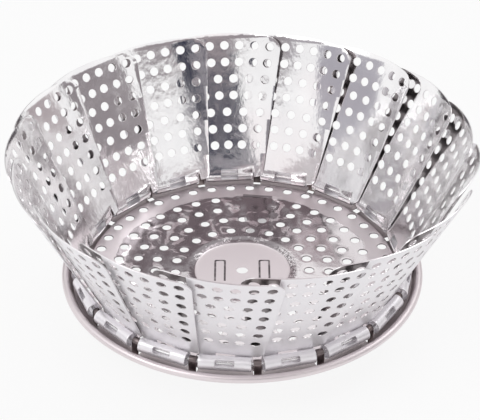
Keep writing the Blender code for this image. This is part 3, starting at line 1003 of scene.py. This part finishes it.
@dataclass(frozen=True)
class Petals(Basket):
    """The petals, each punched from one sheet and curled round the hinge ring."""

    finish: Finish
    outer_finish: Finish
    cut_finish: Finish
    lap_shade_finish: Finish
    sheet: float = 0.00045
    length: float = 0.0592
    top_width: float = 0.0470
    foot_width: float = 0.0280
    crown: float = 0.0030
    crown_steps: int = 14
    top_corner: float = 0.0060
    top_corner_steps: int = 12
    foot_corner: float = 0.0028
    corner_steps: int = 6
    foot_start: float = 0.0018
    foot_drop: float = 0.0010
    foot_slit: float = 0.0004
    foot_notch: float = 0.0005
    rest_angle: float = radians(62.9)
    foot_roll: float = radians(2.9)
    top_roll: float = radians(5.0)
    foot_dish_radius: float = 0.1100
    top_dish_radius: float = 0.0640
    blend_length: float = 0.0030
    blend_steps: int = 5
    knuckle_width: float = 0.0193
    knuckle_radius: float = 0.0026
    knuckle_wrap: float = radians(312)
    window_width: float = 0.0072
    window_top: float = 0.0024
    window_corner: float = 0.0005
    window_steps: int = 4
    inner_window_end: float = radians(50)
    outer_window_start: float = radians(205)
    outer_window_end: float = radians(262)
    hole_radius: float = 0.00175
    hole_counts: tuple = (7, 7, 6, 6, 5, 5, 5)
    hole_first_row: float = 0.0050
    hole_row_pitch: float = 0.0069
    hole_margin: float = 0.0047
    hole_bow: float = 0.0022
    hole_sides: int = 20
    rim_ease: float = 0.00009
    dent_height: float = 0.00007
    dent_size: float = 0.021
    dent_shift: float = 3.7
    score_pitch: float = 0.0024
    score_shift: Point = (0.37, 0.41)
    lap_margin: float = 0.0010
    curl_steps: int = 30

    def axis_radius(self) -> float:
        """Radius of a petal's straight hinge axis, halfway into the bow of the ring."""
        bow = self.ring_radius - sqrt(self.ring_radius**2 - (self.knuckle_width / 2) ** 2)
        return self.ring_radius - bow / 2

    def half_width(self, along: float) -> float:
        """Half the petal's width at a distance from its axis."""
        part = (along - self.foot_start) / (self.length - self.crown - self.foot_start)
        return (self.foot_width + (self.top_width - self.foot_width) * part) / 2

    def lapped(self, face: bpy.types.MeshPolygon) -> bool:
        """Tell whether a face of the blank lies on the strip that the next petal covers at rest,
        which takes a painted shade.

        Args:
            face: The face.

        Returns:
            Whether it does.
        """
        aside, along, _ = face.center
        radius = self.axis_radius() + along * cos(self.rest_angle)
        spacing = 2 * tan(pi / self.petal_count) * radius
        start = spacing - self.half_width(along) + self.lap_margin
        return face.normal.z < -FACING and along > self.foot_start and aside > start

    def crown_edge(self, aside: float) -> float:
        """Distance of the crowned top edge from the axis."""
        return self.length - self.crown * (2 * aside / self.top_width) ** 2

    def outline(self) -> list[Point]:
        """List the corners of the flat blank.

        Returns:
            The closed outline.
        """
        half = self.knuckle_width / 2
        beyond = half + self.foot_slit
        notch = self.foot_slit / 2 - TINY
        rise, drop = self.blend_length, -self.foot_drop
        right = self.side([(half, rise, notch), (beyond, rise, notch), (beyond, drop, 0)], drop)
        left = self.side([(half, self.foot_start, self.foot_notch)], self.foot_start)
        crown_end, steps = right[-1][0], self.crown_steps
        top = [crown_end * (1 - 2 * i / steps) for i in range(1, steps)]
        return right + [(aside, self.crown_edge(aside)) for aside in top] + mirrored(left)

    def side(self, inner: Sequence[Corner], start: float) -> list[Point]:
        """List one side of the blank, from the end of the curl up to the crown.

        Args:
            inner: The rounded corners between the curl and the foot's own corner.
            start: The lowest line of the foot on this side.

        Returns:
            The points, as on the side at positive X.
        """
        half = self.knuckle_width / 2
        end = -self.knuckle_radius * self.knuckle_wrap
        slope = atan2(self.half_width(self.length) - self.half_width(0), self.length)
        along = self.crown_edge(self.top_width / 2 - self.top_corner) - self.top_corner
        corner = (self.half_width(along) - self.top_corner / cos(slope), along)
        foot = (self.foot_width / 2, start, self.foot_corner)
        corners = [(0, end, 0), (half, end, self.foot_notch), *inner, foot, (*corner, 0)]
        turn = arc(corner, self.top_corner, -slope, pi / 2 - slope, self.top_corner_steps)
        return rounded(corners, self.corner_steps)[1:-1] + turn

    def hole_places(self) -> list[Matrix]:
        """List the places of the perforations, rows from the top down.

        Returns:
            A place for each hole.
        """
        places = []
        for row, count in enumerate(self.hole_counts):
            along = self.length - self.hole_first_row - self.hole_row_pitch * row
            reach = self.half_width(along) - self.hole_margin
            for i in range(count):
                aside = reach * (2 * i / (count - 1) - 1)
                drop = self.hole_bow * (2 * aside / self.top_width) ** 2
                places.append(Matrix.Translation((aside, along - drop, 0)))
        return places

    def window(self, top: float, bottom: float) -> Piece:
        """Make the punch for one window of the knuckle.

        Args:
            top: Its upper edge.
            bottom: Its lower edge.

        Returns:
            The punch.
        """
        half, small = self.window_width / 2, self.window_corner
        right = [(0, top, 0), (half, top, small), (half, bottom, small)]
        left = [(-half, bottom, small), (-half, top, small), (0, top, 0)]
        outline = rounded(right + left, self.window_steps)[1:-1]
        return Piece.plate("window", outline, -self.sheet, self.sheet)

    def blank(self) -> Piece:
        """Cut, ease, score, punch and dress the flat blank.

        Returns:
            The blank, about height zero.
        """
        blank = Piece.plate("petal", self.outline(), -self.sheet / 2, self.sheet / 2)
        blank.ease_rims(self.rim_ease)
        pitch, (aside, ahead), rise = self.score_pitch, self.score_shift, self.blend_length
        lines = int(self.top_width / 2 / pitch)
        blank.score(ACROSS, [pitch * (i + aside) for i in range(-lines - 1, lines + 1)])
        radius = self.knuckle_radius
        curl = [-radius * self.knuckle_wrap * i / self.curl_steps for i in range(self.curl_steps)]
        foot = [rise * (i + 0.5) / self.blend_steps for i in range(self.blend_steps)]
        rest = [rise + pitch * (i + ahead) for i in range(int((self.length - rise) / pitch))]
        blank.score(ALONG, curl + foot + rest)
        hole = Piece.hole_punch(self.hole_radius, self.sheet, self.rim_ease, self.hole_sides)
        inner = (self.window_top, -radius * self.inner_window_end)
        outer = (-radius * self.outer_window_start, -radius * self.outer_window_end)
        for punch in (hole.repeat(self.hole_places()), self.window(*inner), self.window(*outer)):
            blank.combine(punch, Joining.PUNCH)
        blank.dress(self.finish)
        for finish, chosen in (
            (self.outer_finish, lambda f: f.normal.z < -FACING or f.center.y < -radius),
            (self.cut_finish, lambda f: abs(f.normal.z) <= FACING and f.center.y >= -radius),
            # the strip under the next petal takes a dark finish: painted shade between the petals
            (self.lap_shade_finish, self.lapped),
        ):
            blank.coat(finish, chosen)
        blank.chart()
        return blank

    def middle(self, x: float, along: float, number: int) -> Vector:
        """Place of the middle of the formed sheet.

        Args:
            x: Distance across the petal.
            along: Distance from the axis along it.
            number: Which petal it is, for its own dents.

        Returns:
            The place: X across, Y along the petal and Z to its inner side.
        """
        radius = self.knuckle_radius
        in_corner = x > (self.knuckle_width + self.foot_slit) / 2
        if along < 0 and not in_corner:
            turn = -along / radius
            return Vector((x, -radius * sin(turn), radius * cos(turn)))
        part = max(0.0, along / self.length)
        roll = self.foot_roll + (self.top_roll - self.foot_roll) * part
        dish = (1 - part) / self.foot_dish_radius + part / self.top_dish_radius
        blend = 1 if in_corner else min(1.0, along / self.blend_length)
        blend = blend * blend * (3 - 2 * blend)
        lift = x * tan(roll) + x * x * dish / 2
        place = Vector((x / self.dent_size, along / self.dent_size, number * self.dent_shift))
        dents = noise.noise(place) * self.dent_height
        return Vector((x, along, radius + blend * (lift + dents)))

    def make(self) -> None:
        """Make all the petals, each in its own place."""
        blank = self.blank()
        radius, height = self.axis_radius(), self.ring_height()
        for index, azimuth in enumerate(spaced(self.first_petal, self.petal_count)):
            node = f"petal_{index + 1:02d}"
            petal = blank.copy(f"pressed_{node}")
            petal.form(lambda x, along: self.middle(x, along, index))
            petal.mesh.transform(stand(azimuth, radius, height, self.rest_angle))
            petal.deliver(node, "petal_steel", node)
        blank.scrap()


@dataclass(frozen=True)
class Base(Basket):
    """The base plate: disc, boss, gutter, flange and rolled lip, with its hooks."""

    finish: Finish
    # painted shade: a near-black finish for the walls of the punched holes, slits and windows
    edge_shade_finish: Finish
    # painted shade: a dark finish for the hooks
    hook_shade_finish: Finish
    sheet: float = 0.0005
    disc_edge_width: float = 0.0008
    centre_hole_radius: float = 0.0023
    boss_radius: float = 0.0210
    boss_slope_width: float = 0.0026
    boss_depth: float = 0.0010
    gutter_depth: float = 0.0015
    gutter_outer_radius: float = 0.0664
    rim_radius: float = 0.0703
    lip_radius: float = 0.00125
    lip_rise: float = 0.0006
    lip_start: float = radians(150)
    lip_end: float = radians(-75)
    lip_steps: int = 22
    bend: float = 0.0005
    boss_bend: float = 0.0060
    bend_steps: int = 5
    steps: int = 204
    ring_pitch: float = 0.0045
    hole_sides: int = 20
    rim_ease: float = 0.00020
    groove_width: float = 0.00018
    groove_depth: float = 0.00020
    tongue_offset: float = 0.0087
    tongue_width: float = 0.0034
    tongue_slit: float = 0.0004
    tongue_tip: float = 0.0066
    tongue_root: float = -0.0070
    tongue_steps: int = 4
    ring_rise: float = 0.0030
    hook_width: float = 0.0028
    hook_clearance: float = 0.00035
    hook_wrap: float = radians(200)
    hook_steps: int = 16
    hook_margin: float = 0.00012
    hook_ease: float = 0.00005

    def middle_line(self) -> list[Point]:
        """List the middle of the sheet from the centre hole to the end of the lip.

        Returns:
            Radius and height of each point.
        """
        level = self.disc_height - self.sheet / 2
        low, gutter = level - self.boss_depth, level - self.gutter_depth
        centre = (self.rim_radius - self.sheet / 2 - self.lip_radius, level + self.lip_rise)
        lip = arc(centre, self.lip_radius, self.lip_start, self.lip_end, self.lip_steps)
        corners = [
            (self.centre_hole_radius, low, 0),
            (self.boss_radius - self.boss_slope_width, low, self.boss_bend),
            (self.boss_radius, level, self.boss_bend),
            (self.disc_radius, level, self.bend),
            (self.disc_radius + self.disc_edge_width, gutter, self.bend),
            (self.gutter_outer_radius, gutter, self.bend),
            (*lip[0], 0),
        ]
        return self.divided(rounded(corners, self.bend_steps)) + lip[1:]

    def divided(self, line: Sequence[Point]) -> list[Point]:
        """Divide the long flat stretches of a line.

        Args:
            line: Radius and height of each point.

        Returns:
            The line with its long stretches divided.
        """
        result = [line[0]]
        for (x, y), (end_x, end_y) in zip(line, line[1:]):
            wide, high = end_x - x, end_y - y
            parts = max(1, round(hypot(wide, high) / self.ring_pitch))
            for i in range(1, parts + 1):
                result.append((x + wide * (i / parts), y + high * (i / parts)))
        return result

    def hole_places(self) -> list[Matrix]:
        """List the places of the round perforations.

        Returns:
            A place for each hole, at the height of the sheet.
        """
        height = self.disc_height - self.sheet / 2
        places = []
        for leg in self.legs():
            for radius, count, first, last in self.disc_hole_rows:
                for i in range(count):
                    azimuth = leg + first + (last - first) * i / (count - 1)
                    places.append(Matrix.Translation(around(azimuth, radius, height)))
        return places

    def hooks(self) -> list[Matrix]:
        """List the turns to the hooks, halfway between the petals."""
        return [stand(azimuth) for azimuth in spaced(self.first_petal, self.petal_count, 0.5)]

    def slit_outline(self, side: int, wider: float) -> list[Point]:
        """Outline the slit round three sides of a tongue.

        Args:
            side: -1 or 1, for the two tongues.
            wider: How much wider the outline is than the slit, at each of its sides.

        Returns:
            The closed outline.
        """
        centre = side * self.tongue_offset
        inner = self.tongue_width / 2 - wider
        outer = self.tongue_width / 2 + self.tongue_slit + wider
        tip, root = self.tongue_tip + wider, self.tongue_root - wider
        bend, steps = self.tongue_width / 4, self.tongue_steps
        over = arch(centre - outer, centre + outer, root, tip, bend, steps)
        under = tip - outer + inner
        return over + arch(centre + inner, centre - inner, root, under, bend / 2, steps)

    def hook(self) -> Piece:
        """Bend one hook over the ring and draw it out along the tangent.

        Returns:
            The hook at azimuth zero.
        """
        middle = self.wire_radius + self.hook_clearance + self.sheet / 2
        centre = (self.ring_radius, self.disc_height + self.ring_rise)
        foot = (centre[0] + middle, self.disc_height - self.sheet / 2 - self.gutter_depth)
        line = [foot] + arc(centre, middle, 0, self.hook_wrap, self.hook_steps)
        half = self.hook_width / 2
        hook = Piece.plate("hook", sheet_section(line, self.sheet), -half, half)
        hook.ease_rims(self.hook_ease)
        hook.mesh.transform(Matrix(((0, 0, 1, 0), (1, 0, 0, 0), (0, 1, 0, 0), (0, 0, 0, 1))))
        return hook.dress(self.hook_shade_finish)

    def punches(self) -> Piece:
        """Make all the punches for the windows and the slits.

        Returns:
            The punches, joined.
        """
        low = self.disc_height - self.gutter_depth - 3 * self.sheet
        high = self.disc_height + self.sheet
        top = self.disc_height - self.boss_depth
        tools = []
        for side in (-1, 1):
            slit, groove = self.slit_outline(side, 0), self.slit_outline(side, self.groove_width)
            tools.append(Piece.plate("slit", slit, low, top - self.groove_depth / 2))
            tools.append(Piece.plate("groove", groove, top - self.groove_depth, high))
        half = self.hook_width / 2 + self.hook_margin
        inner = self.disc_radius + self.disc_edge_width + 2 * self.hook_margin
        outer = self.ring_radius + self.wire_radius + self.hook_clearance + self.sheet / 2
        box = [(-half, inner), (half, inner), (half, outer), (-half, outer)]
        tools.append(Piece.plate("hook_window", box, low, high).repeat(self.hooks()))
        return Piece.joined([tool.dress(self.edge_shade_finish) for tool in tools])

    def make(self) -> None:
        """Make the base plate."""
        section = sheet_section(self.middle_line(), self.sheet)
        base = Piece.turned("pressed_base", section, self.steps).dress(self.finish)
        hole = Piece.hole_punch(self.disc_hole_radius, self.sheet, self.rim_ease, self.hole_sides)
        base.combine(hole.dress(self.edge_shade_finish).repeat(self.hole_places()), Joining.PUNCH)
        base.combine(self.punches(), Joining.PUNCH)
        base.combine(self.hook().repeat(self.hooks()), Joining.WELD)
        base.deliver("base", "base_steel", "base_plate")


@dataclass(frozen=True)
class HingeRing(Basket):
    """The closed ring of round wire that carries the petals."""

    finish: Finish
    steps: int = 272
    wire_steps: int = 14

    def make(self) -> None:
        """Bend the ring to its place."""
        ring = Piece.start(
            "wire_ring",
            bpy.ops.mesh.primitive_torus_add,
            major_segments=self.steps,
            minor_segments=self.wire_steps,
            major_radius=self.ring_radius,
            minor_radius=self.wire_radius,
        )
        ring.mesh.transform(Matrix.Translation((0, 0, self.ring_height())))
        ring.dress(self.finish).deliver("base", "ring_steel", "hinge_ring")


@dataclass(frozen=True)
class Legs(Basket):
    """The folding legs, the headed pins that they turn on and the brackets that hold these."""

    finish: Finish
    pin_finish: Finish
    bracket_finish: Finish
    sheet: float = 0.0008
    pin_circle: float = 0.046502
    pin_height: float = 0.0135
    pin_radius: float = 0.0008
    pin_clearance: float = 0.00025
    pin_steps: int = 28
    head_radius: float = 0.0015
    head_length: float = 0.0006
    dome_start: float = 0.35
    dome_steps: int = 4
    lug_face: float = 0.0069
    bracket_sheet: float = 0.0006
    bracket_top: float = 0.0167
    bracket_corner: float = 0.0011
    stop_gap: float = 0.0003
    flange_width: float = 0.0040
    flange_inner_reach: float = 0.0072
    flange_outer_reach: float = 0.0052
    flange_corner: float = 0.0012
    lug_reach: float = 0.0036
    lug_below_pin: float = 0.0022
    lug_corner: float = 0.0016
    lug_steps: int = 6
    bore_sides: int = 24
    width: float = 0.0120
    foot_width: float = 0.0080
    side_clearance: float = 0.0003
    curl_wrap: float = radians(285)
    curl_steps: int = 28
    curl_corner: float = 0.0004
    waist_corner: float = 0.003
    toe_corner: float = 0.0016
    corner_steps: int = 5
    shank_steps: int = 40
    foot_bend: float = 0.0016
    foot_length: float = 0.0026
    rib_half_width: float = 0.0014
    rib_height: float = 0.0004
    rib_ends: Point = (0.0025, 0.002)
    rib_steps: int = 4
    rim_ease: float = 0.00015

    def curl_radius(self) -> float:
        """Radius of the middle of the sheet round the pin."""
        return self.pin_radius + self.pin_clearance + self.sheet / 2

    def shank(self) -> float:
        """Length of the straight stretch between the curl and the ankle."""
        return self.pin_height - self.foot_bend - self.sheet / 2

    def total(self) -> float:
        """Length of the flat strip from the start of the shank to the tip of the foot."""
        return self.shank() + self.foot_bend * pi / 2 + self.foot_length

    def outline(self) -> list[Point]:
        """List the corners of the flat strip, with the curl at negative Y.

        Returns:
            The closed outline.
        """
        end, tip = -self.curl_radius() * self.curl_wrap, self.total()
        top, foot, waist = self.width / 2, self.foot_width / 2, self.waist_corner
        upper = [(0, end, 0), (top, end, self.curl_corner), (top, 0, waist)]
        lower = [(foot, self.shank(), waist), (foot, tip, self.toe_corner), (0, tip, 0)]
        points = rounded(upper + lower, self.corner_steps)
        return points + mirrored(points[1:-1])

    def middle(self, x: float, along: float) -> Vector:
        """Place of the middle of the formed strip.

        Args:
            x: Distance across the leg.
            along: Distance along the strip from the end of the curl.

        Returns:
            The place: X across, Y outwards and Z up from the pin.
        """
        curl, shank, bend = self.curl_radius(), self.shank(), self.foot_bend
        if along < 0:
            turn = -along / curl
            return Vector((x, curl * cos(turn), curl * sin(turn)))
        if along < shank:
            rib = max(0.0, 1 - (x / self.rib_half_width) ** 2)
            fade = min(1.0, along / self.rib_ends[0], (shank - along) / self.rib_ends[1])
            return Vector((x, curl + self.rib_height * rib * rib * fade, -along))
        turn = min(pi / 2, (along - shank) / bend)
        rest = along - shank - turn * bend
        outward = curl + bend * (1 - cos(turn)) + rest * sin(turn)
        return Vector((x, outward, -shank - bend * sin(turn)))

    def strip(self) -> Piece:
        """Cut, ease, score and press the strip.

        Returns:
            The leg about its pin, standing, with +Y outwards.
        """
        strip = Piece.plate("leg", self.outline(), -self.sheet / 2, self.sheet / 2)
        strip.ease_rims(self.rim_ease)
        ribs, end = self.rib_steps, self.curl_radius() * self.curl_wrap
        strip.score(ACROSS, [self.rib_half_width * i / ribs for i in range(-ribs, ribs + 1)])
        curl = [-end * i / self.curl_steps for i in range(self.curl_steps)]
        rest = [self.total() * (i + 0.5) / self.shank_steps for i in range(self.shank_steps)]
        strip.score(ALONG, curl + rest)
        strip.chart()
        strip.form(self.middle, -1)
        return strip

    def pin(self) -> Piece:
        """Turn the pin with its two domed heads, about X.

        Returns:
            The pin about its middle.
        """
        face, head, start = self.lug_face + self.side_clearance, self.head_radius, self.dome_start
        upper = [(self.pin_radius, face), (head, face)]
        for step in range(self.dome_steps):
            angle = pi / 2 * step / self.dome_steps
            rise = self.head_length * (start + (1 - start) * sin(angle))
            upper.append((head * cos(angle), face + rise))
        upper.append((0, face + self.head_length))
        lower = [(radius, -height) for radius, height in reversed(upper)]
        pin = Piece.turned("leg_pin", lower + upper, self.pin_steps)
        pin.mesh.transform(Matrix.Rotation(pi / 2, 4, "Y"))
        return pin

    def bracket(self) -> Piece:
        """Press the bracket: a channel of two lugs and a stop, with a welding flange at each side.

        Returns:
            The bracket about its pin, with +Y outwards.
        """
        sheet, steps = self.bracket_sheet, self.corner_steps
        outer, bend = self.lug_face, self.bracket_corner
        inner, front, low = outer - sheet, -self.lug_reach, -self.lug_below_pin
        stop = self.curl_radius() + self.sheet / 2 + self.stop_gap
        channel = arch(-outer, outer, front, stop + sheet, bend, steps)
        channel += arch(inner, -inner, front, stop, bend - sheet, steps)
        top = self.bracket_top - self.pin_height
        piece = Piece.plate("bracket", channel, low, top - sheet / 2)
        places = [v.co.copy() for v in piece.mesh.vertices]
        ends = [abs(place.y - front) < TINY and abs(place.z - low) < TINY for place in places]
        corner, facets = self.lug_corner, self.lug_steps
        piece.ease(corner, lambda edge: all(ends[i] for i in edge.vertices), facets)
        near, far, bend = -self.flange_inner_reach, self.flange_outer_reach, self.flange_corner
        middle, end = (inner + outer) / 2, inner + self.flange_width
        corners = [(middle, near, 0), (end, near, bend), (end, far, bend), (middle, far, 0)]
        for side in (-1, 1):
            outline = [(side * x, y) for x, y in rounded(corners, steps)]
            piece.combine(Piece.plate("flange", outline, top - sheet, top), Joining.WELD)
        bore = Piece.rod("bore", self.bore_sides, self.pin_radius + self.pin_clearance, 4 * outer)
        bore.mesh.transform(Matrix.Rotation(pi / 2, 4, "Y"))
        piece.combine(bore, Joining.PUNCH)
        return piece

    def make(self) -> None:
        """Make the legs, their pins and their brackets."""
        strip, pin, bracket = self.strip(), self.pin(), self.bracket()
        for number, azimuth in enumerate(self.legs(), 1):
            leg = f"leg_{number}"
            for pattern, name, body, finish, slot in (
                (strip, leg, leg, self.finish, "leg_steel"),
                (pin, f"leg_pin_{number}", "base", self.pin_finish, "ring_steel"),
                (bracket, f"leg_bracket_{number}", "base", self.bracket_finish, "leg_steel"),
            ):
                place = stand(azimuth, self.pin_circle, self.pin_height)
                pattern.copy(f"formed_{name}", place).dress(finish).deliver(body, slot, name)
        for pattern in (strip, pin, bracket):
            pattern.scrap()


@dataclass(frozen=True)
class Card:
    """A plain card beside the set that only polished metal sees, placed in degrees."""

    name: str
    azimuth: float
    elevation: float
    width: float
    height: float
    shade: tuple


@dataclass(frozen=True)
class Studio:
    """Pale floor, soft lamps, cards for the metal to mirror, and the camera.

    The camera's distance, shift and rise are in units of the outer row of holes' radius.
    """

    unit: float = 0.0575
    disc_height: float = Basket.disc_height
    camera_distance: float = 12.0
    camera_elevation: float = radians(33.92)
    camera_aside: float = 0.015
    camera_rise: float = -0.394
    focal_pixels: float = 1763
    photo_pixels: float = 480
    sensor_width: float = 36.0
    nearest: float = 0.01
    floor_size: float = 12.0
    floor_tone: tuple = (0.86, 0.86, 0.86, 1)
    floor_roughness: float = 0.9
    floor_whiteness: float = 0.88
    white: tuple = (1, 1, 1, 1)
    fill: tuple = (0.6, 0.6, 0.6, 1)
    card_distance: float = 1.1
    lamp_distance: float = 1.6
    lamps: tuple = (
        # name, azimuth and elevation in degrees, side in metres, power in watts
        ("lamp_left", -125, 48, 1.0, 6),
        ("lamp_right", 60, 55, 0.8, 4),
    )
    cards: tuple = (
        Card("card_ceiling", 180, 84, 1.0, 1.0, (0.52, 0.455, 0.475, 1)),
        Card("card_front", 174, 26.9, 0.52, 0.09, (0.038, 0.042, 0.068, 1)),
        Card("card_front_side", 164, 23.3, 0.12, 0.09, (0.022, 0.026, 0.048, 1)),
        Card("card_front_low", 170, 17.8, 0.70, 0.25, (0.27, 0.26, 0.285, 1)),
        Card("card_front_top", 190, 37.2, 0.90, 0.305, (0.33, 0.30, 0.315, 1)),
        Card("card_side_top", 145, 34.4, 0.54, 0.30, (0.33, 0.295, 0.31, 1)),
        Card("card_right", 111, 11, 0.70, 0.52, (0.29, 0.26, 0.275, 1)),
        Card("card_far_right", 71, 4, 0.50, 0.44, (0.41, 0.355, 0.37, 1)),
        Card("card_left", 253, 14, 0.68, 0.42, (0.44, 0.425, 0.47, 1)),
        Card("card_left_top", 227, 34.5, 0.50, 0.22, (0.40, 0.375, 0.40, 1)),
        Card("card_behind_left", 325, 12, 0.70, 0.34, (0.08, 0.07, 0.08, 1)),
        Card("card_behind_right", 35, 12, 0.70, 0.34, (0.08, 0.07, 0.08, 1)),
    )

    @staticmethod
    def hang(name: str, data: Any) -> bpy.types.Object:
        """Add a lamp or a camera to the scene.

        Args:
            name: Its name.
            data: What it is.

        Returns:
            The object.
        """
        item = bpy.data.objects.new(name, data)
        bpy.context.scene.collection.objects.link(item)
        return item

    @staticmethod
    def aim(azimuth: float, elevation: float, distance: float) -> tuple[Vector, Quaternion]:
        """Find a place by its direction from the basket, and the turn that faces the basket.

        Args:
            azimuth: The azimuth in degrees.
            elevation: The elevation in degrees.
            distance: How far away the place is.

        Returns:
            The place and the turn.
        """
        rise = radians(elevation)
        place = around(radians(azimuth), cos(rise), sin(rise)) * distance
        return place, place.to_track_quat("Z", "Y")

    @staticmethod
    def seen(recipe: Recipe) -> Value:
        """Tell the rays by which the surroundings are seen from those by which they light.

        Args:
            recipe: The material or the surroundings.

        Returns:
            1 for a ray from the camera, or one mirrored or let through, else 0.
        """
        rays = recipe.add("ShaderNodeLightPath").outputs
        kinds = ("Is Camera Ray", "Is Glossy Ray", "Is Transmission Ray")
        return reduce(Value.greater, [Value(recipe, rays[kind]) for kind in kinds])

    def make_camera(self) -> None:
        """Set the camera where the photograph was taken from."""
        lens = bpy.data.cameras.new("camera")
        lens.lens = self.focal_pixels / self.photo_pixels * self.sensor_width
        lens.sensor_width = self.sensor_width
        lens.clip_start = self.nearest
        camera = self.hang("camera", lens)
        rise, fall = sin(self.camera_elevation), cos(self.camera_elevation)
        far, lift = self.camera_distance, -self.camera_rise
        camera.location = (
            -self.camera_aside * self.unit,
            (lift * rise - far * fall) * self.unit,
            (lift * fall + far * rise) * self.unit + self.disc_height,
        )
        camera.rotation_euler = (pi / 2 - self.camera_elevation, 0, 0)
        bpy.context.scene.camera = camera

    def make_floor(self) -> None:
        """Lay the pale floor, which keeps the basket's shadow."""
        floor = Piece.start("floor", bpy.ops.mesh.primitive_plane_add, size=self.floor_size)
        recipe = Recipe("pale_floor")
        finish = recipe.finished({"Base Color": self.floor_tone, "Roughness": self.floor_roughness})
        white = recipe.add("ShaderNodeEmission", {"Color": self.white, "Strength": 1.0}).outputs[0]
        share = self.seen(recipe) * self.floor_whiteness
        shown = recipe.add("ShaderNodeMixShader", {0: share, 1: recipe.shader.outputs[0], 2: white})
        recipe.feed(recipe.tree.nodes["Material Output"], {"Surface": shown.outputs[0]})
        floor.dress(finish).object

    def make_world(self) -> None:
        """Make the white surroundings, which light the set at a plain level."""
        world = bpy.context.scene.world = bpy.data.worlds.new("surroundings")
        recipe = Recipe("surroundings", world)
        tone = recipe.blend(self.seen(recipe), self.fill, self.white)
        recipe.finished({"Color": tone, "Strength": 1.0})

    def make_lamp(
        self, name: str, azimuth: float, elevation: float, size: float, power: float
    ) -> None:
        """Hang a soft square lamp that points at the basket.

        Args:
            name: The lamp's name.
            azimuth: Its azimuth in degrees.
            elevation: Its elevation in degrees.
            size: Its side in metres.
            power: Its power in watts.
        """
        lamp = bpy.data.lights.new(name, "AREA")
        lamp.size = size
        lamp.energy = power
        holder = self.hang(name, lamp)
        place, turn = self.aim(azimuth, elevation, self.lamp_distance)
        holder.location = place
        holder.rotation_euler = turn.to_euler()

    def make_card(self, card: Card) -> None:
        """Hang one card facing the basket.

        Args:
            card: The card.
        """
        piece = Piece.start(card.name, bpy.ops.mesh.primitive_plane_add, size=1)
        place, turn = self.aim(card.azimuth, card.elevation, self.card_distance)
        spread = Matrix.Diagonal((card.width, card.height, 1, 1))
        piece.mesh.transform(Matrix.Translation(place) @ turn.to_matrix().to_4x4() @ spread)
        piece.dress(Recipe(card.name).finished({
            "Base Color": (0, 0, 0, 1),
            "Specular IOR Level": 0.0,
            "Emission Color": card.shade,
            "Emission Strength": 1.0,
        }))
        for ray in ("camera", "diffuse", "shadow", "transmission"):
            setattr(piece.object, f"visible_{ray}", False)

    def make(self) -> None:
        """Set up the whole studio."""
        bpy.context.scene.view_settings.view_transform = "Standard"
        self.make_camera()
        self.make_floor()
        self.make_world()
        for lamp in self.lamps:
            self.make_lamp(*lamp)
        for card in self.cards:
            self.make_card(card)


def main() -> None:
    """Build the basket and its studio."""
    logging.basicConfig(level=logging.INFO, format="%(name)s: %(message)s")
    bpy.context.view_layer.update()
    petal_steel = Steel("petal_steel").make()
    outer_steel = Steel(
        "outer_steel", (0.97, 0.945, 0.975, 1), (0.92, 0.895, 0.925, 1), (0.94, 0.90, 0.925, 1),
        roughness=0.30, ripple_depth=0.000012, fleck_depth=0.000008, metallic=0.45,
    ).make()
    cut_steel = Steel(
        "cut_steel", (0.84, 0.82, 0.83, 1), (0.68, 0.66, 0.67, 1), (0.78, 0.73, 0.74, 1),
        roughness=0.26, ripple_depth=0.00001,
    ).make()
    # painted shade: a dark copy of the steel for the strip that the next petal covers
    lapped_steel = Steel(
        "lapped_steel", (0.34, 0.31, 0.315, 1), (0.20, 0.18, 0.185, 1), (0.30, 0.25, 0.25, 1),
        roughness=0.28, ripple_depth=0.00002,
    ).make()
    # painted shade: a dark copy of the steel for the hooks in the gaps between the petals
    hook_steel = Steel(
        "hook_steel", (0.26, 0.22, 0.22, 1), (0.12, 0.10, 0.10, 1), (0.24, 0.18, 0.16, 1),
        roughness=0.28, ripple_depth=0.00002, lay=Lay.ROUND,
    ).make()
    base_steel = PlateSteel("base_steel").make()
    # painted shade: a near-black finish for the walls of the base's holes, slits and windows
    punched_edge = EdgeShade("punched_edge").make()
    wire_steel = Steel(
        "wire_steel", (0.96, 0.95, 0.955, 1), (0.90, 0.89, 0.895, 1), roughness=0.20, metallic=0.7,
        dent_depth=0.00001, ripple_depth=0.000004, fleck_depth=0.000002, lay=Lay.ROUND,
    ).make()
    leg_steel = Steel(
        "leg_steel", (0.74, 0.73, 0.74, 1), (0.6, 0.59, 0.6, 1), roughness=0.24,
        dent_depth=0.00004, ripple_depth=0.000012, fleck_depth=0.000006,
    ).make()
    Base(base_steel, punched_edge, hook_steel).make()
    HingeRing(wire_steel).make()
    Petals(petal_steel, outer_steel, cut_steel, lapped_steel).make()
    Legs(leg_steel, wire_steel, leg_steel).make()
    Studio().make()
    bpy.context.view_layer.update()


if __name__ == "__main__":
    main()
